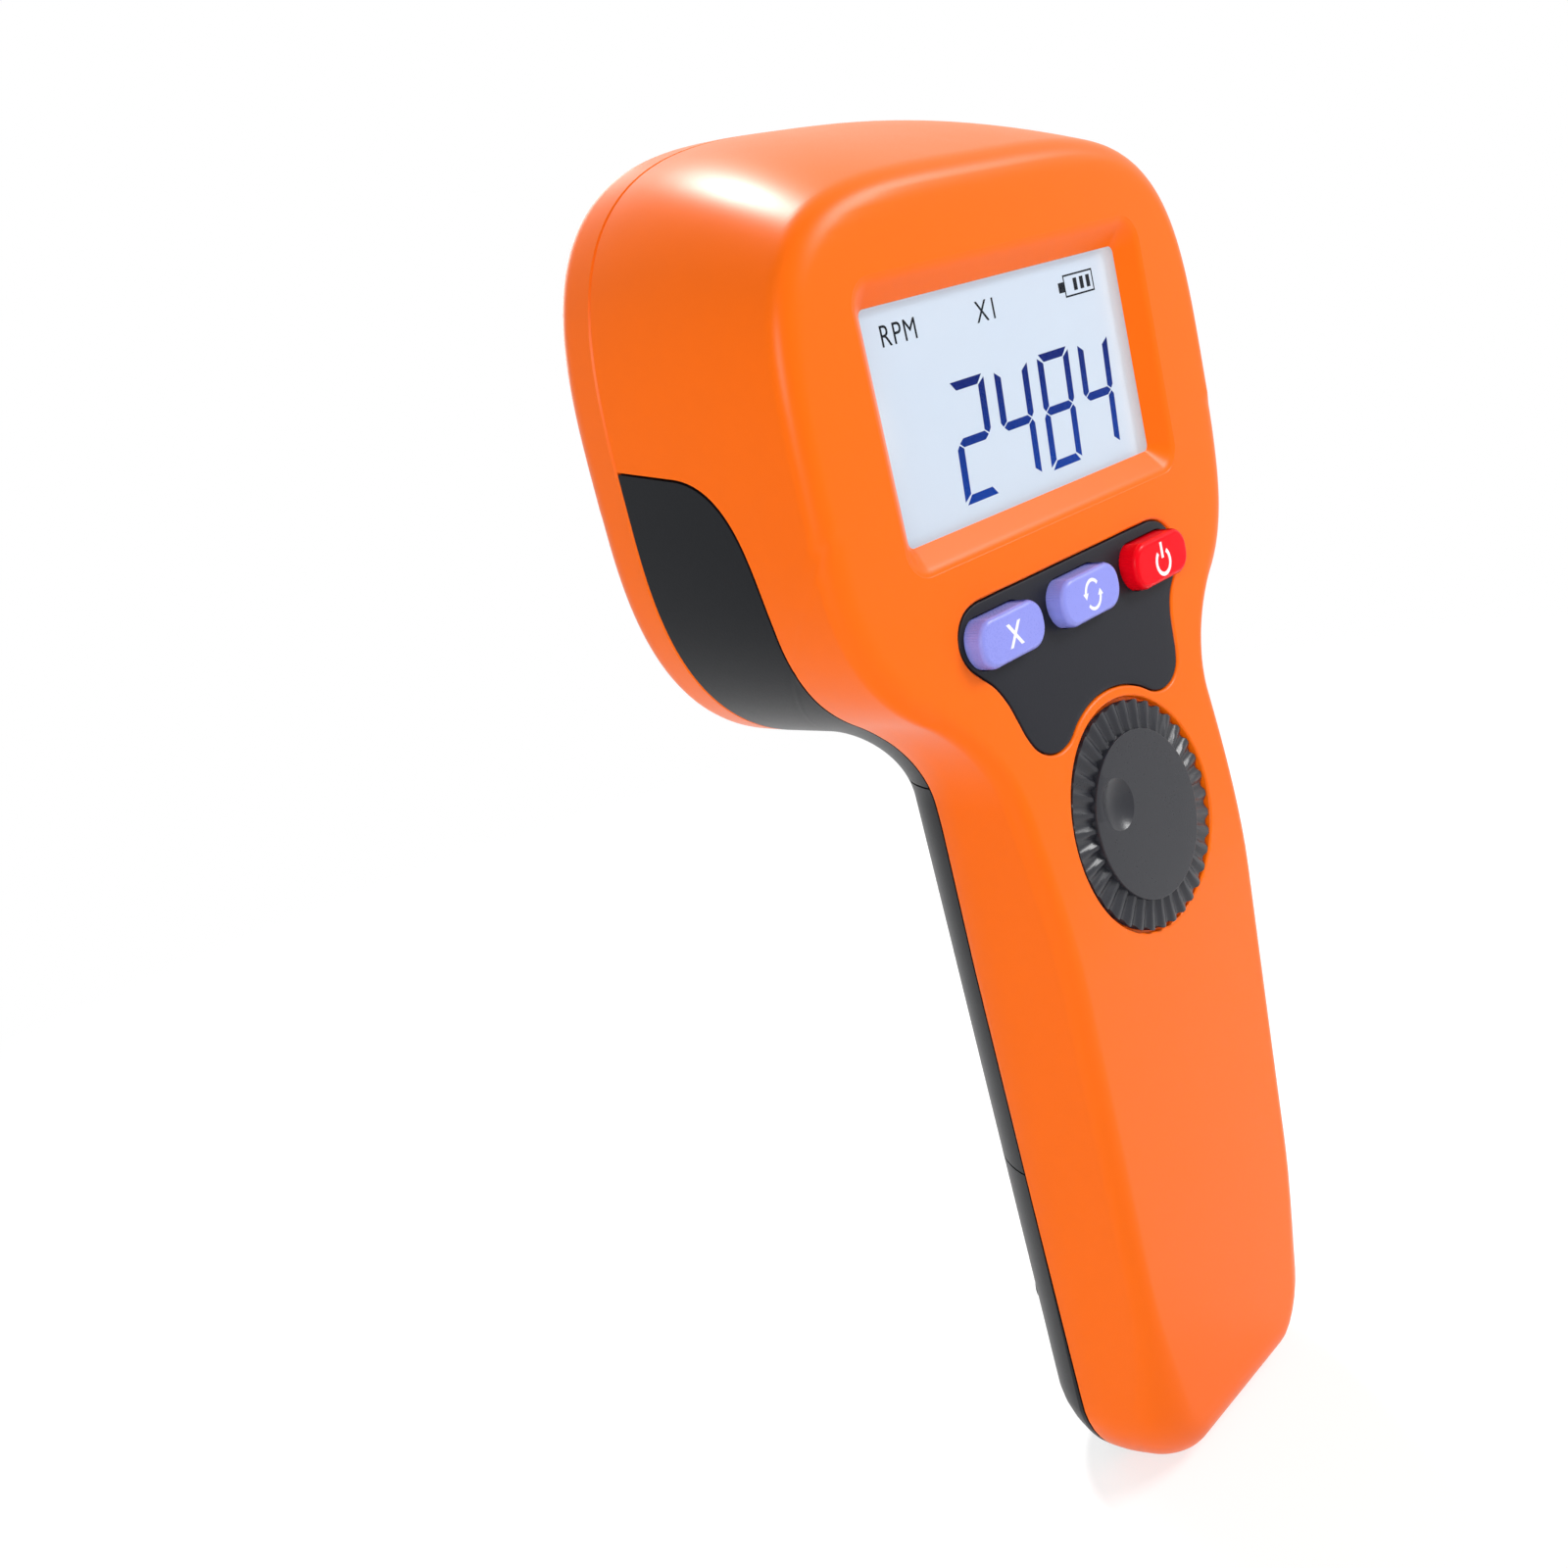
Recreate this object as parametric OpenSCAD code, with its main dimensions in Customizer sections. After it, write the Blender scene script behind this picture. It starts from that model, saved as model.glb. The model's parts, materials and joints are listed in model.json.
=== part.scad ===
// Handheld stroboscope with a display, three keys, a knob and a battery handle.
// Frame: origin at the foot of the handle, on the axis of the tripod thread.
// X is to the right for someone reading the display, Y is the way the light
// shines and Z is up. Lengths are in millimetres.

/* [Case] */
// Height of the display's centre above the foot
display_z = 161.5; // [154:0.5:168]
// Rear face around the display, from the tripod thread's axis
face_y = -9; // [-9.5:0.25:-8.5]
// Wall of the shells
wall = 2.4; // [2.2:0.1:2.7]
// Gap along the seams between the shell pieces
seam = 0.3; // [0.2:0.05:0.4]
// Gap between pieces that rest on each other
fit = 0.05; // [0.03:0.01:0.08]
// Rounding of the rear edges
edge_r = 8.5; // [7:0.5:9.5]

/* [Head] */
// Depth of the shells in the head
head_depth = 33; // [32:0.5:36]
// Half width at the rear face
head_half_rear = 50.3; // [48:0.5:53]
// Half width at the bezel seam
head_half_front = 46.3; // [45.5:0.5:49]
// Top of the head at the rear, above the display's centre
head_top_rear = 32.8; // [32:0.5:35]
// Top of the head at the bezel seam, above the display's centre
head_top_front = 41.2; // [40:0.4:43]
// Underside of the head at the rear, below the display's centre
head_low_rear = 43; // [42.5:0.25:44.5]
// Underside of the head at the bezel seam, below the display's centre
head_low_front = 42.6; // [42:0.2:44]
// Widest level of the head at the rear, below the display's centre
head_wide_rear = 10; // [8:0.5:12]
// Widest level of the head at the bezel seam, below the display's centre
head_wide_front = 3.6; // [2:0.4:5]
// Squareness of the upper outline
head_square_up = 3.3; // [3:0.1:3.8]
// Squareness of the lower outline
head_square_low = 2.8; // [2.6:0.1:3.2]
// Rounding where the head runs into the handle
neck_r = 9.5; // [8:0.5:11]

/* [Handle] */
// Room beside the cells, inside the wall
cell_room = 2.3; // [2.1:0.1:3]
// Front of the handle just below the head, from the display's rear face
handle_front = 22.2; // [22:0.1:23.5]
// Forward slope of the handle's front, up the handle
handle_draft = 0.021; // [0.015:0.003:0.024]
// Rounding of the handle's front corners
handle_front_r = 16; // [14.5:0.5:17]
// How far the grip stands out behind the display's face
grip_out = 6; // [5.5:0.25:6.5]
// Start of the grip's swell below the display's centre
swell_start = 16; // [14:1:18]
// Height over which the grip swells
swell_span = 62; // [58:1:66]
// Slope of the grip's rear below the swell
grip_draft = 0.022; // [0.016:0.003:0.025]
// Rounding of the foot's sides
foot_r = 12; // [9:0.5:12.5]
// Rounding of the foot's front
foot_front_r = 5.5; // [5:0.25:6.5]

/* [Seam between the shells] */
// Seam on the handle just below the head, from the display's face
seam_handle = 10.4; // [9.8:0.2:11]
// Seam at the foot, from the display's face
seam_foot = 7.8; // [7.2:0.2:8.4]
// Seam on the side of the head, from the display's face
seam_head = 14; // [13.5:0.25:14.5]
// Height at which the seam turns forward, below the display's centre
seam_turn = 11; // [9:0.5:13]
// Height at which the seam meets the bezel, above the display's centre
seam_bezel = 2.4; // [1:0.2:4]

/* [Bezel and light] */
// Depth of the bezel ring
bezel_depth = 9; // [8.6:0.2:10]
// Rounding of the bezel's front edge
bezel_r = 4; // [3:0.25:5]
// Width of the bezel's front lip
lip_w = 9; // [8.5:0.25:9.5]
// Thickness of the lens
lens_t = 2.5; // [2:0.1:2.6]
// Depth of the reflector
reflector_t = 11.4; // [11:0.1:11.6]
// Columns of emitters
led_columns = 4; // [3:1:4]
// Rows of emitters
led_rows = 3; // [2:1:3]
// Distance between columns
led_pitch_x = 17; // [16.5:0.25:17.5]
// Distance between rows
led_pitch_z = 16.5; // [16.1:0.1:16.8]
// Mouth radius of a reflector cup
cup_r = 7.8; // [7:0.1:8]
// Thickness of the heat sink
sink_t = 3; // [2.5:0.1:3.2]
// Length of the standoffs behind the heat sink
standoff_l = 10; // [9.5:0.1:10.2]

/* [Display] */
// Width of the display's picture
display_w = 58; // [54:0.5:59]
// Height of the display's picture
display_h = 29.7; // [28:0.1:30.5]
// Slope of the recess, beyond the picture on each side
recess_slope = 3.2; // [2.6:0.2:3.6]
// Corner rounding of the recess
recess_r = 4; // [3:0.25:4.5]
// Thickness of the clear window
window_t = 1; // [0.8:0.1:1.2]
// Thickness of the display glass
glass_t = 1.8; // [1.6:0.1:2]
// Thickness of the backlight
light_t = 3; // [2.8:0.1:3.2]
// Thickness of the circuit boards
board_t = 1.6; // [1.4:0.1:1.8]

/* [Keys] */
// Top edge of the key panel, below the display's centre
panel_top = 24.1; // [23:0.1:25]
// Depth of the key panel in its seat
panel_t = 1.2; // [1:0.1:1.3]
// Level of the keys, below the display's centre
key_drop = 29.2; // [28.8:0.1:29.6]
// Distance between keys
key_pitch = 18.8; // [18.3:0.1:19.4]
// Length of a key
key_l = 14.2; // [13.4:0.2:15]
// Height of a key
key_h = 6.6; // [6:0.1:7]
// How far a key stands proud of the panel
key_proud = 2.6; // [2:0.1:3]
// Travel of a key
key_travel = 1; // [0.6:0.1:1.1]
// Radius of a switch plunger
plunger_r = 1.75; // [1.5:0.05:2]

/* [Knob] */
// Level of the knob, below the display's centre
knob_drop = 61.5; // [60.5:0.1:62.5]
// Radius of the knob
knob_r = 16.8; // [16:0.1:17.2]
// Radius of the knob's flat top
knob_top_r = 12; // [11.2:0.1:12.6]
// How far the knob stands out of the case
knob_proud = 0.6; // [0.5:0.1:1]
// Depth of the knob's seat
knob_seat = 1.5; // [1.3:0.05:1.6]
// Depth of the knob's sloped flank
knob_flank = 1.4; // [1.2:0.1:1.5]
// Teeth around the knob
knob_teeth = 36; // [30:1:42]
// Depth of the teeth
tooth_depth = 0.9; // [0.6:0.1:1.1]
// Radius of the encoder's shaft
shaft_r = 3; // [2.6:0.1:3.2]
// Radial running fit of the shaft
shaft_fit = 0.05; // [0.03:0.01:0.08]

/* [Battery] */
// Radius of a cell
cell_r = 7.1; // [6.9:0.05:7.15]
// Length of a cell without its button
cell_l = 49.5; // [48:0.1:49.8]
// Distance between cells
cell_pitch = 14.4; // [14.32:0.02:14.5]
// Level of the cells' middle above the foot
cell_z = 83.25; // [82:0.25:84]
// Length of the battery door beyond the cells
door_ends = 10; // [9.6:0.1:10.8]
// Radius of the tripod thread
tripod_r = 3.175; // [2.5:0.005:3.3]
// Length of the tripod thread
tripod_l = 10; // [8:0.25:11]

/* [Hidden] */
ORANGE = "#f5701c";
BLACK = "#2e3036";
GREY = "#a9adb2";
GREEN = "#2c6a48";
$fn = 48;

// Levels along Y, from the display's face forward.
window_y = face_y + wall + fit;
glass_y = window_y + window_t + fit;
light_y = glass_y + glass_t + fit;
board_y = light_y + light_t + fit;
board_front = board_y + board_t;
sink_y = board_front + fit + standoff_l + fit;
led_board_y = sink_y + sink_t + fit;
led_front = led_board_y + board_t;
led_h = 1.5;
reflector_y = led_front + 2 * fit;
reflector_front = reflector_y + reflector_t;
seal_t = 0.6;
seal_y = reflector_front + fit;
lens_y = seal_y + seal_t + fit;
lens_front = lens_y + lens_t;
bezel_y = face_y + head_depth;
bezel_front = bezel_y + bezel_depth;
light_z = display_z - head_wide_front / 4;

// Levels in the handle.
handle_level = 111.5;
knob_z = display_z - knob_drop;
key_z = display_z - key_drop;
door_low = cell_z - (cell_l + door_ends) / 2;
door_high = cell_z + (cell_l + door_ends) / 2;
handle_half = cell_pitch + cell_r + cell_room + wall;
cell_y = face_y + handle_front - wall - handle_draft * (handle_level - door_low) / 2
    - cell_r - 2.4;

function clamp(v) = min(1, max(0, v));
function mix(a, b, t) = a + (b - a) * t;
function smooth(t) = clamp(t) * clamp(t) * (3 - 2 * clamp(t));
function round_max(a, b, r) =
    min(max(a + r, b + r), 0) + norm([max(a + r, 0), max(b + r, 0)]) - r;
function round_min(a, b, r) =
    max(r, min(a, b)) - norm([max(r - a, 0), max(r - b, 0)]);

// Rear surface of the case, at the middle of its width.
grip_low = display_z - swell_start - swell_span;
function rear_surface(z) = face_y
    - grip_out * smooth((display_z - swell_start - z) / swell_span)
    + grip_draft * max(0, grip_low - z);
function handle_face(z) = face_y + handle_front - handle_draft * (handle_level - z);

// Outline of the head across the light at one depth.
function head_t(y) = (y - face_y) / head_depth;
function head_half(y) = mix(head_half_rear, head_half_front, head_t(y));
function head_mid(y) = display_z - mix(head_wide_rear, head_wide_front, head_t(y));
rise_power = 1.6;
rise_end = 1.27;
function rise(t) = 1 - pow(1 - clamp(t / rise_end), rise_power);
function head_top(y) = display_z
    + mix(head_top_rear, head_top_front, rise(head_t(y)) / rise(1));
function head_low(y) = display_z - mix(head_low_rear, head_low_front, head_t(y));
function head_side(p) =
    let (half = head_half(p.y), mid = head_mid(p.y), dz = p.z - mid,
        tall = dz > 0 ? head_top(p.y) - mid : mid - head_low(p.y),
        n = dz > 0 ? head_square_up : head_square_low)
    (pow(pow(abs(p.x) / half, n) + pow(abs(dz) / tall, n), 1 / n) - 1)
    * min(half, tall);
function foot_round(x) = mix(foot_front_r, foot_r, smooth(abs(x) / handle_half));
function handle_side(p) = round_max(
    round_max(abs(p.x) - handle_half, p.y - handle_face(min(p.z, handle_level)),
        handle_front_r),
    max(-p.z, p.z - display_z), foot_round(p.x));
function body(p) = round_max(
    round_min(head_side(p), handle_side(p), neck_r),
    rear_surface(p.z) - p.y, edge_r);
function bezel_body(p) = round_max(head_side(p), p.y - bezel_front, bezel_r);

// A surface point on the ray from c along u, found by stepping in from outside.
TRACE_STEPS = 11;
TRACE_RATE = 0.92;
function trace(c, u, inset, s, n) = n == 0 ? c + u * s
    : trace(c, u, inset, s - TRACE_RATE * (body(c + u * s) + inset), n - 1);
function trace_bezel(c, u, s, n) = n == 0 ? c + u * s
    : trace_bezel(c, u, s - TRACE_RATE * bezel_body(c + u * s), n - 1);

// Sections: level ones up the handle, then a fan that turns from level to upright
// about a line in front of the handle and under the head.
FAR = 95;
pivot_y = bezel_y;
pivot_z = display_z - head_low_front - 9;
function fan_mid(a) = mix(pivot_y - face_y - 8, 50, pow(min(1, a / 70), 2));
function level_station(z) = [
    [0, (rear_surface(z) + handle_face(z)) / 2, z], [0, -1, 0],
    handle_half, (handle_face(z) - rear_surface(z)) / 2, FAR];
function fan_station(a) = [
    [0, pivot_y - fan_mid(a) * cos(a), pivot_z + fan_mid(a) * sin(a)],
    [0, -cos(a), sin(a)], mix(handle_half, head_half_front, clamp(a / 45)),
    mix(15, 44, clamp(a / 65)), fan_mid(a)];
function upright_station(y) = [
    [0, y, pivot_z + 50], [0, 0, 1], head_half_front, 44, 50];
function half_ring(st, inset, n) = [for (i = [0:n])
    let (t = -90 + 180 * i / n,
        d = [st[2] * cos(t), 0, 0] + st[1] * st[3] * sin(t), u = d / norm(d),
        toward = u * st[1],
        s = toward < 0 ? min(FAR, -0.97 * st[4] / toward) : FAR)
    trace(st[0], u, inset, s, TRACE_STEPS)];
function whole_ring(half, n) = concat(
    [for (i = [0:n]) [i == 0 || i == n ? 0 : half[i].x, half[i].y, half[i].z]],
    [for (i = [n - 1:-1:1]) [-half[i].x, half[i].y, half[i].z]]);
function rings(stations, inset, n) =
    [for (st = stations) whole_ring(half_ring(st, inset, n), n)];

module loft(list) {
    m = len(list[0]);
    last = len(list) - 1;
    polyhedron(
        points = [for (r = list) each r],
        faces = concat(
            [[for (j = [m - 1:-1:0]) j]],
            [for (i = [0:last - 1], j = [0:m - 1]) each [
                [i * m + j, (i + 1) * m + (j + 1) % m, (i + 1) * m + j],
                [i * m + j, i * m + (j + 1) % m, (i + 1) * m + (j + 1) % m]]],
            [[for (j = [0:m - 1]) last * m + j]]));
}

OUTER_RAYS = 28;
INNER_RAYS = 15;
outer_stations = concat(
    [for (z = [0, 0.4, 1.5, 3.2, 5.6, 9]) level_station(z)],
    [for (z = [20:17:pivot_z - 9]) level_station(z)],
    [for (a = [0:4:52]) fan_station(a)],
    [for (a = [54:1.8:82]) fan_station(a)],
    [for (a = [84:3:90]) fan_station(a)]);
inner_stations = concat(
    [for (z = [wall, wall + 1, wall + 3, wall + 6]) level_station(z)],
    [for (z = [20:28:pivot_z - 12]) level_station(z)],
    [for (a = [0:8:48]) fan_station(a)],
    [for (a = [54:4:82]) fan_station(a)],
    [fan_station(86), fan_station(90), upright_station(bezel_y + 2)]);

module case_wall() {
    difference() {
        loft(rings(outer_stations, 0, OUTER_RAYS));
        loft(rings(inner_stations, wall, INNER_RAYS));
    }
}

// Side view of the seam, as a prism across the case.
SEAM_STEPS = 5;
function bend(a, b, c, n) = [for (i = [1:n - 1]) let (t = i / n)
    a * (1 - t) * (1 - t) + b * 2 * t * (1 - t) + c * t * t];
module side_prism(points, half) {
    multmatrix([[0, 0, 1, 0], [1, 0, 0, 0], [0, 1, 0, 0], [0, 0, 0, 1]])
        translate([0, 0, -half]) linear_extrude(2 * half) polygon(points);
}
module seam_side(gap) {
    low = [face_y + seam_head + gap, display_z - seam_turn];
    end = [face_y + seam_head + 8, display_z + seam_bezel - 4 - gap];
    side_prism(concat(
        [[face_y + seam_foot + gap, -20],
            [face_y + seam_handle + gap, handle_level - 25],
            [face_y + seam_handle + gap, handle_level],
            [face_y + seam_head + gap, display_z - head_low_rear + 6.5], low],
        bend(low, [low.x, end.y], end, SEAM_STEPS),
        [end, [bezel_y + 1, display_z + seam_bezel - gap],
            [bezel_y + 60, display_z + seam_bezel - gap],
            [bezel_y + 60, -20]]), 80);
}
module door_slab(gap) {
    translate([-60, face_y, door_low - gap])
        cube([120, 120, door_high - door_low + 2 * gap]);
}

// A cylinder along +Y.
module rod(r, x, y, z, l) {
    translate([x, y, z]) rotate([-90, 0, 0]) cylinder(r = r, h = l);
}
module ring(r, bore, x, y, z, l) {
    difference() {
        rod(r, x, y, z, l);
        rod(bore, x, y - 1, z, l + 2);
    }
}
// A stadium-shaped prism along +Y.
module stadium(l, h, x, y, z, d) {
    rod(h / 2, x - (l - h) / 2, y, z, d);
    rod(h / 2, x + (l - h) / 2, y, z, d);
    translate([x - (l - h) / 2, y, z - h / 2]) cube([l - h, d, h]);
}
module slab(w, h, x, y, z, d) {
    translate([x - w / 2, y, z - h / 2]) cube([w, d, h]);
}
// A flat shape in X and Z, as a prism along +Y.
module plate(points, y, d) {
    translate([0, y + d, 0]) rotate([90, 0, 0]) linear_extrude(d) polygon(points);
}
function head_outline(y, inset, n) = [for (i = [0:n - 1])
    let (t = 360 * i / n, half = head_half(y) - inset, mid = head_mid(y),
        tall = sin(t) > 0 ? head_top(y) - inset - mid : mid - head_low(y) - inset,
        p = sin(t) > 0 ? head_square_up : head_square_low,
        k = pow(pow(abs(cos(t)), p) + pow(abs(sin(t)), p), -1 / p))
    [half * k * cos(t), mid + tall * k * sin(t)]];
OUTLINE_STEPS = 56;

// Places that several pieces share.
sink_half = head_half_front - 6.3;
sink_top = head_top_front - 13.6;
sink_low = head_low_front - 13.2;
sink_cut = 5;
standoff_x = 32.4;
standoff_up_x = 26;
standoff_up = 24.2;
standoff_down = 26;
standoff_af = 5.5;
screw_r = 1.4;
head_screw = [head_half_rear - 20.7, display_z - head_low_rear + 10.4];
foot_screw = [handle_half - 11.2, 27.5];
foot_screw_head_y = face_y + 15;
head_screw_head_y = face_y + 22;
screw_head_r = 2.6;
screw_head_h = 1.8;
boss_r = 3;
frame_w = display_w + 10;
frame_h = display_h + 12.3;
frame_gap = 0.15;
frame_cut = 2.6;
frame_t = 1.8;
bush_r = 4.4;
board_gap = 1.9;
board_drop = 7.6;
board_low = 30;
rib_l = 5;
rib_t = 1.6;
rib_d = 4.6;
standoff_places = [for (s = [-1, 1]) each [
    [s * standoff_up_x, display_z + standoff_up],
    [s * standoff_x, display_z - standoff_down]]];

// Outline of the key panel, as a half to be mirrored.
knob_gap = 0.5;
arc_r = knob_r + knob_gap + 1.1;
panel_half = [
    [0, panel_top], [21.8, panel_top], [24.6, panel_top + 0.9], [26.5, panel_top + 2.9],
    [27, panel_top + 5.1], [26.3, panel_top + 7.2], [24.6, panel_top + 9],
    [22.6, panel_top + 10.9], [21, panel_top + 13.6], [20.1, panel_top + 16.5],
    [19.4, panel_top + 19], [18.2, panel_top + 21.2], [16.2, panel_top + 22.6],
    [13.6, panel_top + 23.1], [11.4, panel_top + 22.7],
    [8, knob_drop - sqrt(pow(arc_r, 2) - pow(8, 2))],
    [4, knob_drop - sqrt(pow(arc_r, 2) - pow(4, 2))],
    [0, knob_drop - arc_r]];
function panel_outline(grow) = let (
    c = [0, panel_top + 12],
    right = [for (p = panel_half) let (d = p - c)
        (c + d * (1 + grow / norm(d)))])
    concat([for (p = right) [p.x, display_z - p.y]],
        [for (i = [len(right) - 2:-1:1]) [-right[i].x, display_z - right[i].y]]);
module panel_prism(grow) {
    plate(panel_outline(grow), face_y - 20, 40);
}
// The layer of the case between two depths below its rear surface.
module rear_layer(from, to, half) {
    top = display_z;
    low = display_z - 60;
    steps = 16;
    side_prism(concat(
        [for (i = [0:steps]) let (z = mix(low, top, i / steps))
            [rear_surface(z) + from, z]],
        [for (i = [steps:-1:0]) let (z = mix(low, top, i / steps))
            [rear_surface(z) + to, z]]), half);
}

module display_recess() {
    w = display_w + 2 * fit;
    h = display_h + 2 * fit;
    out = 0.6;
    grow = recess_slope * (wall + out) / wall;
    hull() {
        for (sx = [-1, 1], sz = [-1, 1]) {
            rod(recess_r, sx * (w / 2 + grow - recess_r), face_y - out,
                display_z + sz * (h / 2 + grow - recess_r), 0.01);
            rod(1, sx * (w / 2 - 1), face_y + wall + 1, display_z + sz * (h / 2 - 1),
                0.01);
        }
    }
}

module rear_shell() {
    color(ORANGE) difference() {
        union() {
            difference() {
                case_wall();
                seam_side(-seam / 2);
            }
            for (p = standoff_places)
                rod(boss_r, p.x, face_y + wall - 0.4, p.y, board_y - fit - face_y
                    - wall + 0.4);
            on_knob_axis() for (p = pin_places) {
                rod(pin_r + 1, p.x, knob_seat + 0.3, p.y,
                    encoder_board_y - fit - knob_seat - 0.3);
                rod(pin_r, p.x, wall, p.y, encoder_board_y + encoder_board_t - wall);
            }
            for (s = [-1, 1]) {
                rod(boss_r, s * head_screw.x, rear_surface(head_screw.y) + wall + 1.4,
                    head_screw.y, face_y + seam_head - seam - wall - 1.4
                    - rear_surface(head_screw.y));
                slab(rib_t, rib_l, s * head_screw.x,
                    rear_surface(head_screw.y) + wall - 0.5,
                    head_screw.y + screw_r + 0.4 + rib_l / 2, rib_d);
                rod(boss_r + 0.5, s * foot_screw.x,
                    rear_surface(foot_screw.y) + wall - 0.5, foot_screw.y,
                    face_y + seam_foot - seam - wall - rear_surface(foot_screw.y));
            }
            intersection() {
                translate([0, 0, wall / 2]) cylinder(r = bush_r + 2.4, h = tripod_l + 1);
                translate([-20, -20, 0]) cube([40, 20 + face_y + seam_foot - seam, 40]);
            }
        }
        display_recess();
        slab(frame_w + 2 * frame_gap, frame_h + 2 * frame_gap, 0, window_y - fit,
            display_z, board_y - window_y);
        intersection() {
            panel_prism(0.15);
            rear_layer(-8, panel_t, 40);
        }
        for (i = [-1:1])
            stadium(key_l + 0.6, key_h + 0.6, i * key_pitch, face_y - 10, key_z, 20);
        on_knob_axis() {
            rod(knob_r + knob_gap, 0, knob_seat - 20, 0, 20);
            rod(hub_r + hub_gap, 0, knob_seat - 5, 0, 20);
            slab(encoder_w + 0.6, encoder_w + 0.6, 0, encoder_y - 0.3, 0, 6);
        }
        for (p = standoff_places)
            rod(screw_r + fit, p.x, face_y + wall - 0.2, p.y, 20);
        for (s = [-1, 1]) {
            rod(screw_r + fit, s * head_screw.x, face_y + wall + 1, head_screw.y, 40);
            rod(screw_r + fit, s * foot_screw.x, face_y + wall - 1.8, foot_screw.y, 40);
        }
        translate([0, 0, -1]) cylinder(r = bush_r + fit, h = tripod_l + 1 + fit);
    }
}

// Rails that carry the front shell past the battery door.
rail_w = 2.2;
rail_x = handle_half - wall - rail_w - 0.7;
rail_y = face_y + 3.4;
rail_d = 2.85;
bulk_half = handle_half - 10.2;
bulk_t = 2;
module front_rails() {
    low = door_low - seam - bulk_t;
    high = door_high + seam;
    for (s = [-1, 1])
        slab(rail_w, high - low + 2 * bulk_t, s * (rail_x + rail_w / 2), rail_y,
            (low + high + bulk_t) / 2, rail_d);
    for (z = [low, high])
        slab(2 * (rail_x + rail_w), bulk_t, 0, rail_y, z + bulk_t / 2, rail_d);
    slab(2 * bulk_half, bulk_t, 0, rail_y, low + bulk_t / 2,
        handle_face(low) - wall + 0.3 - rail_y);
    slab(2 * bulk_half, bulk_t, 0, rail_y, high + bulk_t / 2,
        handle_face(high) - wall + 0.5 - rail_y);
}

module front_shell() {
    color(BLACK) difference() {
        union() {
            difference() {
                intersection() {
                    case_wall();
                    seam_side(seam / 2);
                }
                door_slab(seam);
            }
            front_rails();
            for (s = [-1, 1]) {
                rod(boss_r, s * head_screw.x, face_y + seam_head + seam, head_screw.y,
                    head_screw_head_y - face_y - seam_head - seam);
                rod(boss_r + 1, s * foot_screw.x, face_y + seam_foot + 2 * seam,
                    foot_screw.y, handle_face(foot_screw.y) - 2.2
                    - face_y - seam_foot - 2 * seam);
            }
            intersection() {
                translate([0, 0, wall / 2]) cylinder(r = bush_r + 2.4, h = tripod_l + 1);
                translate([-20, face_y + seam_foot + 3 * seam, 0]) cube(40);
            }
        }
        for (s = [-1, 1]) {
            rod(screw_r + 0.2, s * head_screw.x, face_y, head_screw.y, 60);
            rod(screw_r + 0.2, s * foot_screw.x, face_y, foot_screw.y, 60);
            rod(screw_head_r + 0.4, s * foot_screw.x, foot_screw_head_y, foot_screw.y,
                40);
        }
        translate([0, 0, -1]) cylinder(r = bush_r + fit, h = tripod_l + 1 + fit);
    }
}

module battery_door() {
    color(BLACK) intersection() {
        case_wall();
        intersection() {
            seam_side(seam / 2);
            door_slab(0);
        }
    }
}

bezel_steps = [seam, 2, 4, 5.6, 6.8, 7.8, 8.5, 8.9, 9];
module front_bezel() {
    list = [for (d = bezel_steps) let (y = bezel_y + d * bezel_depth / 9,
        st = upright_station(y)) whole_ring([for (i = [0:OUTER_RAYS])
            let (t = -90 + 180 * i / OUTER_RAYS,
                u = [st[2] * cos(t), 0, st[3] * sin(t)])
            trace_bezel([0, y, light_z], u / norm(u), 70, TRACE_STEPS)],
            OUTER_RAYS)];
    color(ORANGE) difference() {
        union() {
            loft(list);
            plate(head_outline(bezel_y, wall + 0.9, OUTLINE_STEPS), bezel_y - 3.2, 4);
        }
        plate(head_outline(bezel_y, wall + 2.5, OUTLINE_STEPS), bezel_y - 10, 12);
        plate(head_outline(bezel_y, 6, OUTLINE_STEPS), bezel_y - 10,
            lens_front + fit - bezel_y + 10);
        plate(head_outline(bezel_y, lip_w, OUTLINE_STEPS), bezel_y - 10, 40);
    }
}
module front_lens() {
    color("#dfe9ee") plate(head_outline(bezel_y, 6.3, OUTLINE_STEPS), lens_y, lens_t);
}
module lens_seal() {
    color("#1c1c1e") difference() {
        plate(head_outline(bezel_y, 6.6, OUTLINE_STEPS), seal_y, seal_t);
        plate(head_outline(bezel_y, 10, OUTLINE_STEPS), seal_y - 1, seal_t + 2);
    }
}
led_places = [for (i = [0:led_columns - 1], j = [0:led_rows - 1])
    [(i - (led_columns - 1) / 2) * led_pitch_x,
        light_z + (j - (led_rows - 1) / 2) * led_pitch_z]];
module reflector() {
    color("#d8dce0") difference() {
        plate(head_outline(bezel_y, 8, OUTLINE_STEPS), reflector_y, reflector_t);
        for (p = led_places)
            translate([p.x, reflector_y - 0.02, p.y]) rotate([-90, 0, 0])
                cylinder(r1 = 3.2, r2 = cup_r, h = reflector_t + 0.04);
        for (p = standoff_places)
            rod(3.4, p.x, reflector_y - 1, p.y, 3.2);
    }
}
module led_emitters() {
    color("#f3f0d2") for (p = led_places) {
        slab(3.5, 3.5, p.x, led_front, p.y, led_h / 2);
        translate([p.x, led_front + led_h / 2, p.y]) rotate([-90, 0, 0])
            cylinder(r1 = 1.5, r2 = 0.9, h = led_h / 2);
    }
}
lead_places = [[-4, display_z], [4, display_z]];
led_board_half = led_pitch_x * (led_columns - 1) / 2 + 10.5;
led_board_top = led_pitch_z * (led_rows - 1) / 2 + 10.5;
led_board_low = led_pitch_z * (led_rows - 1) / 2 + 11.9;
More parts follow.
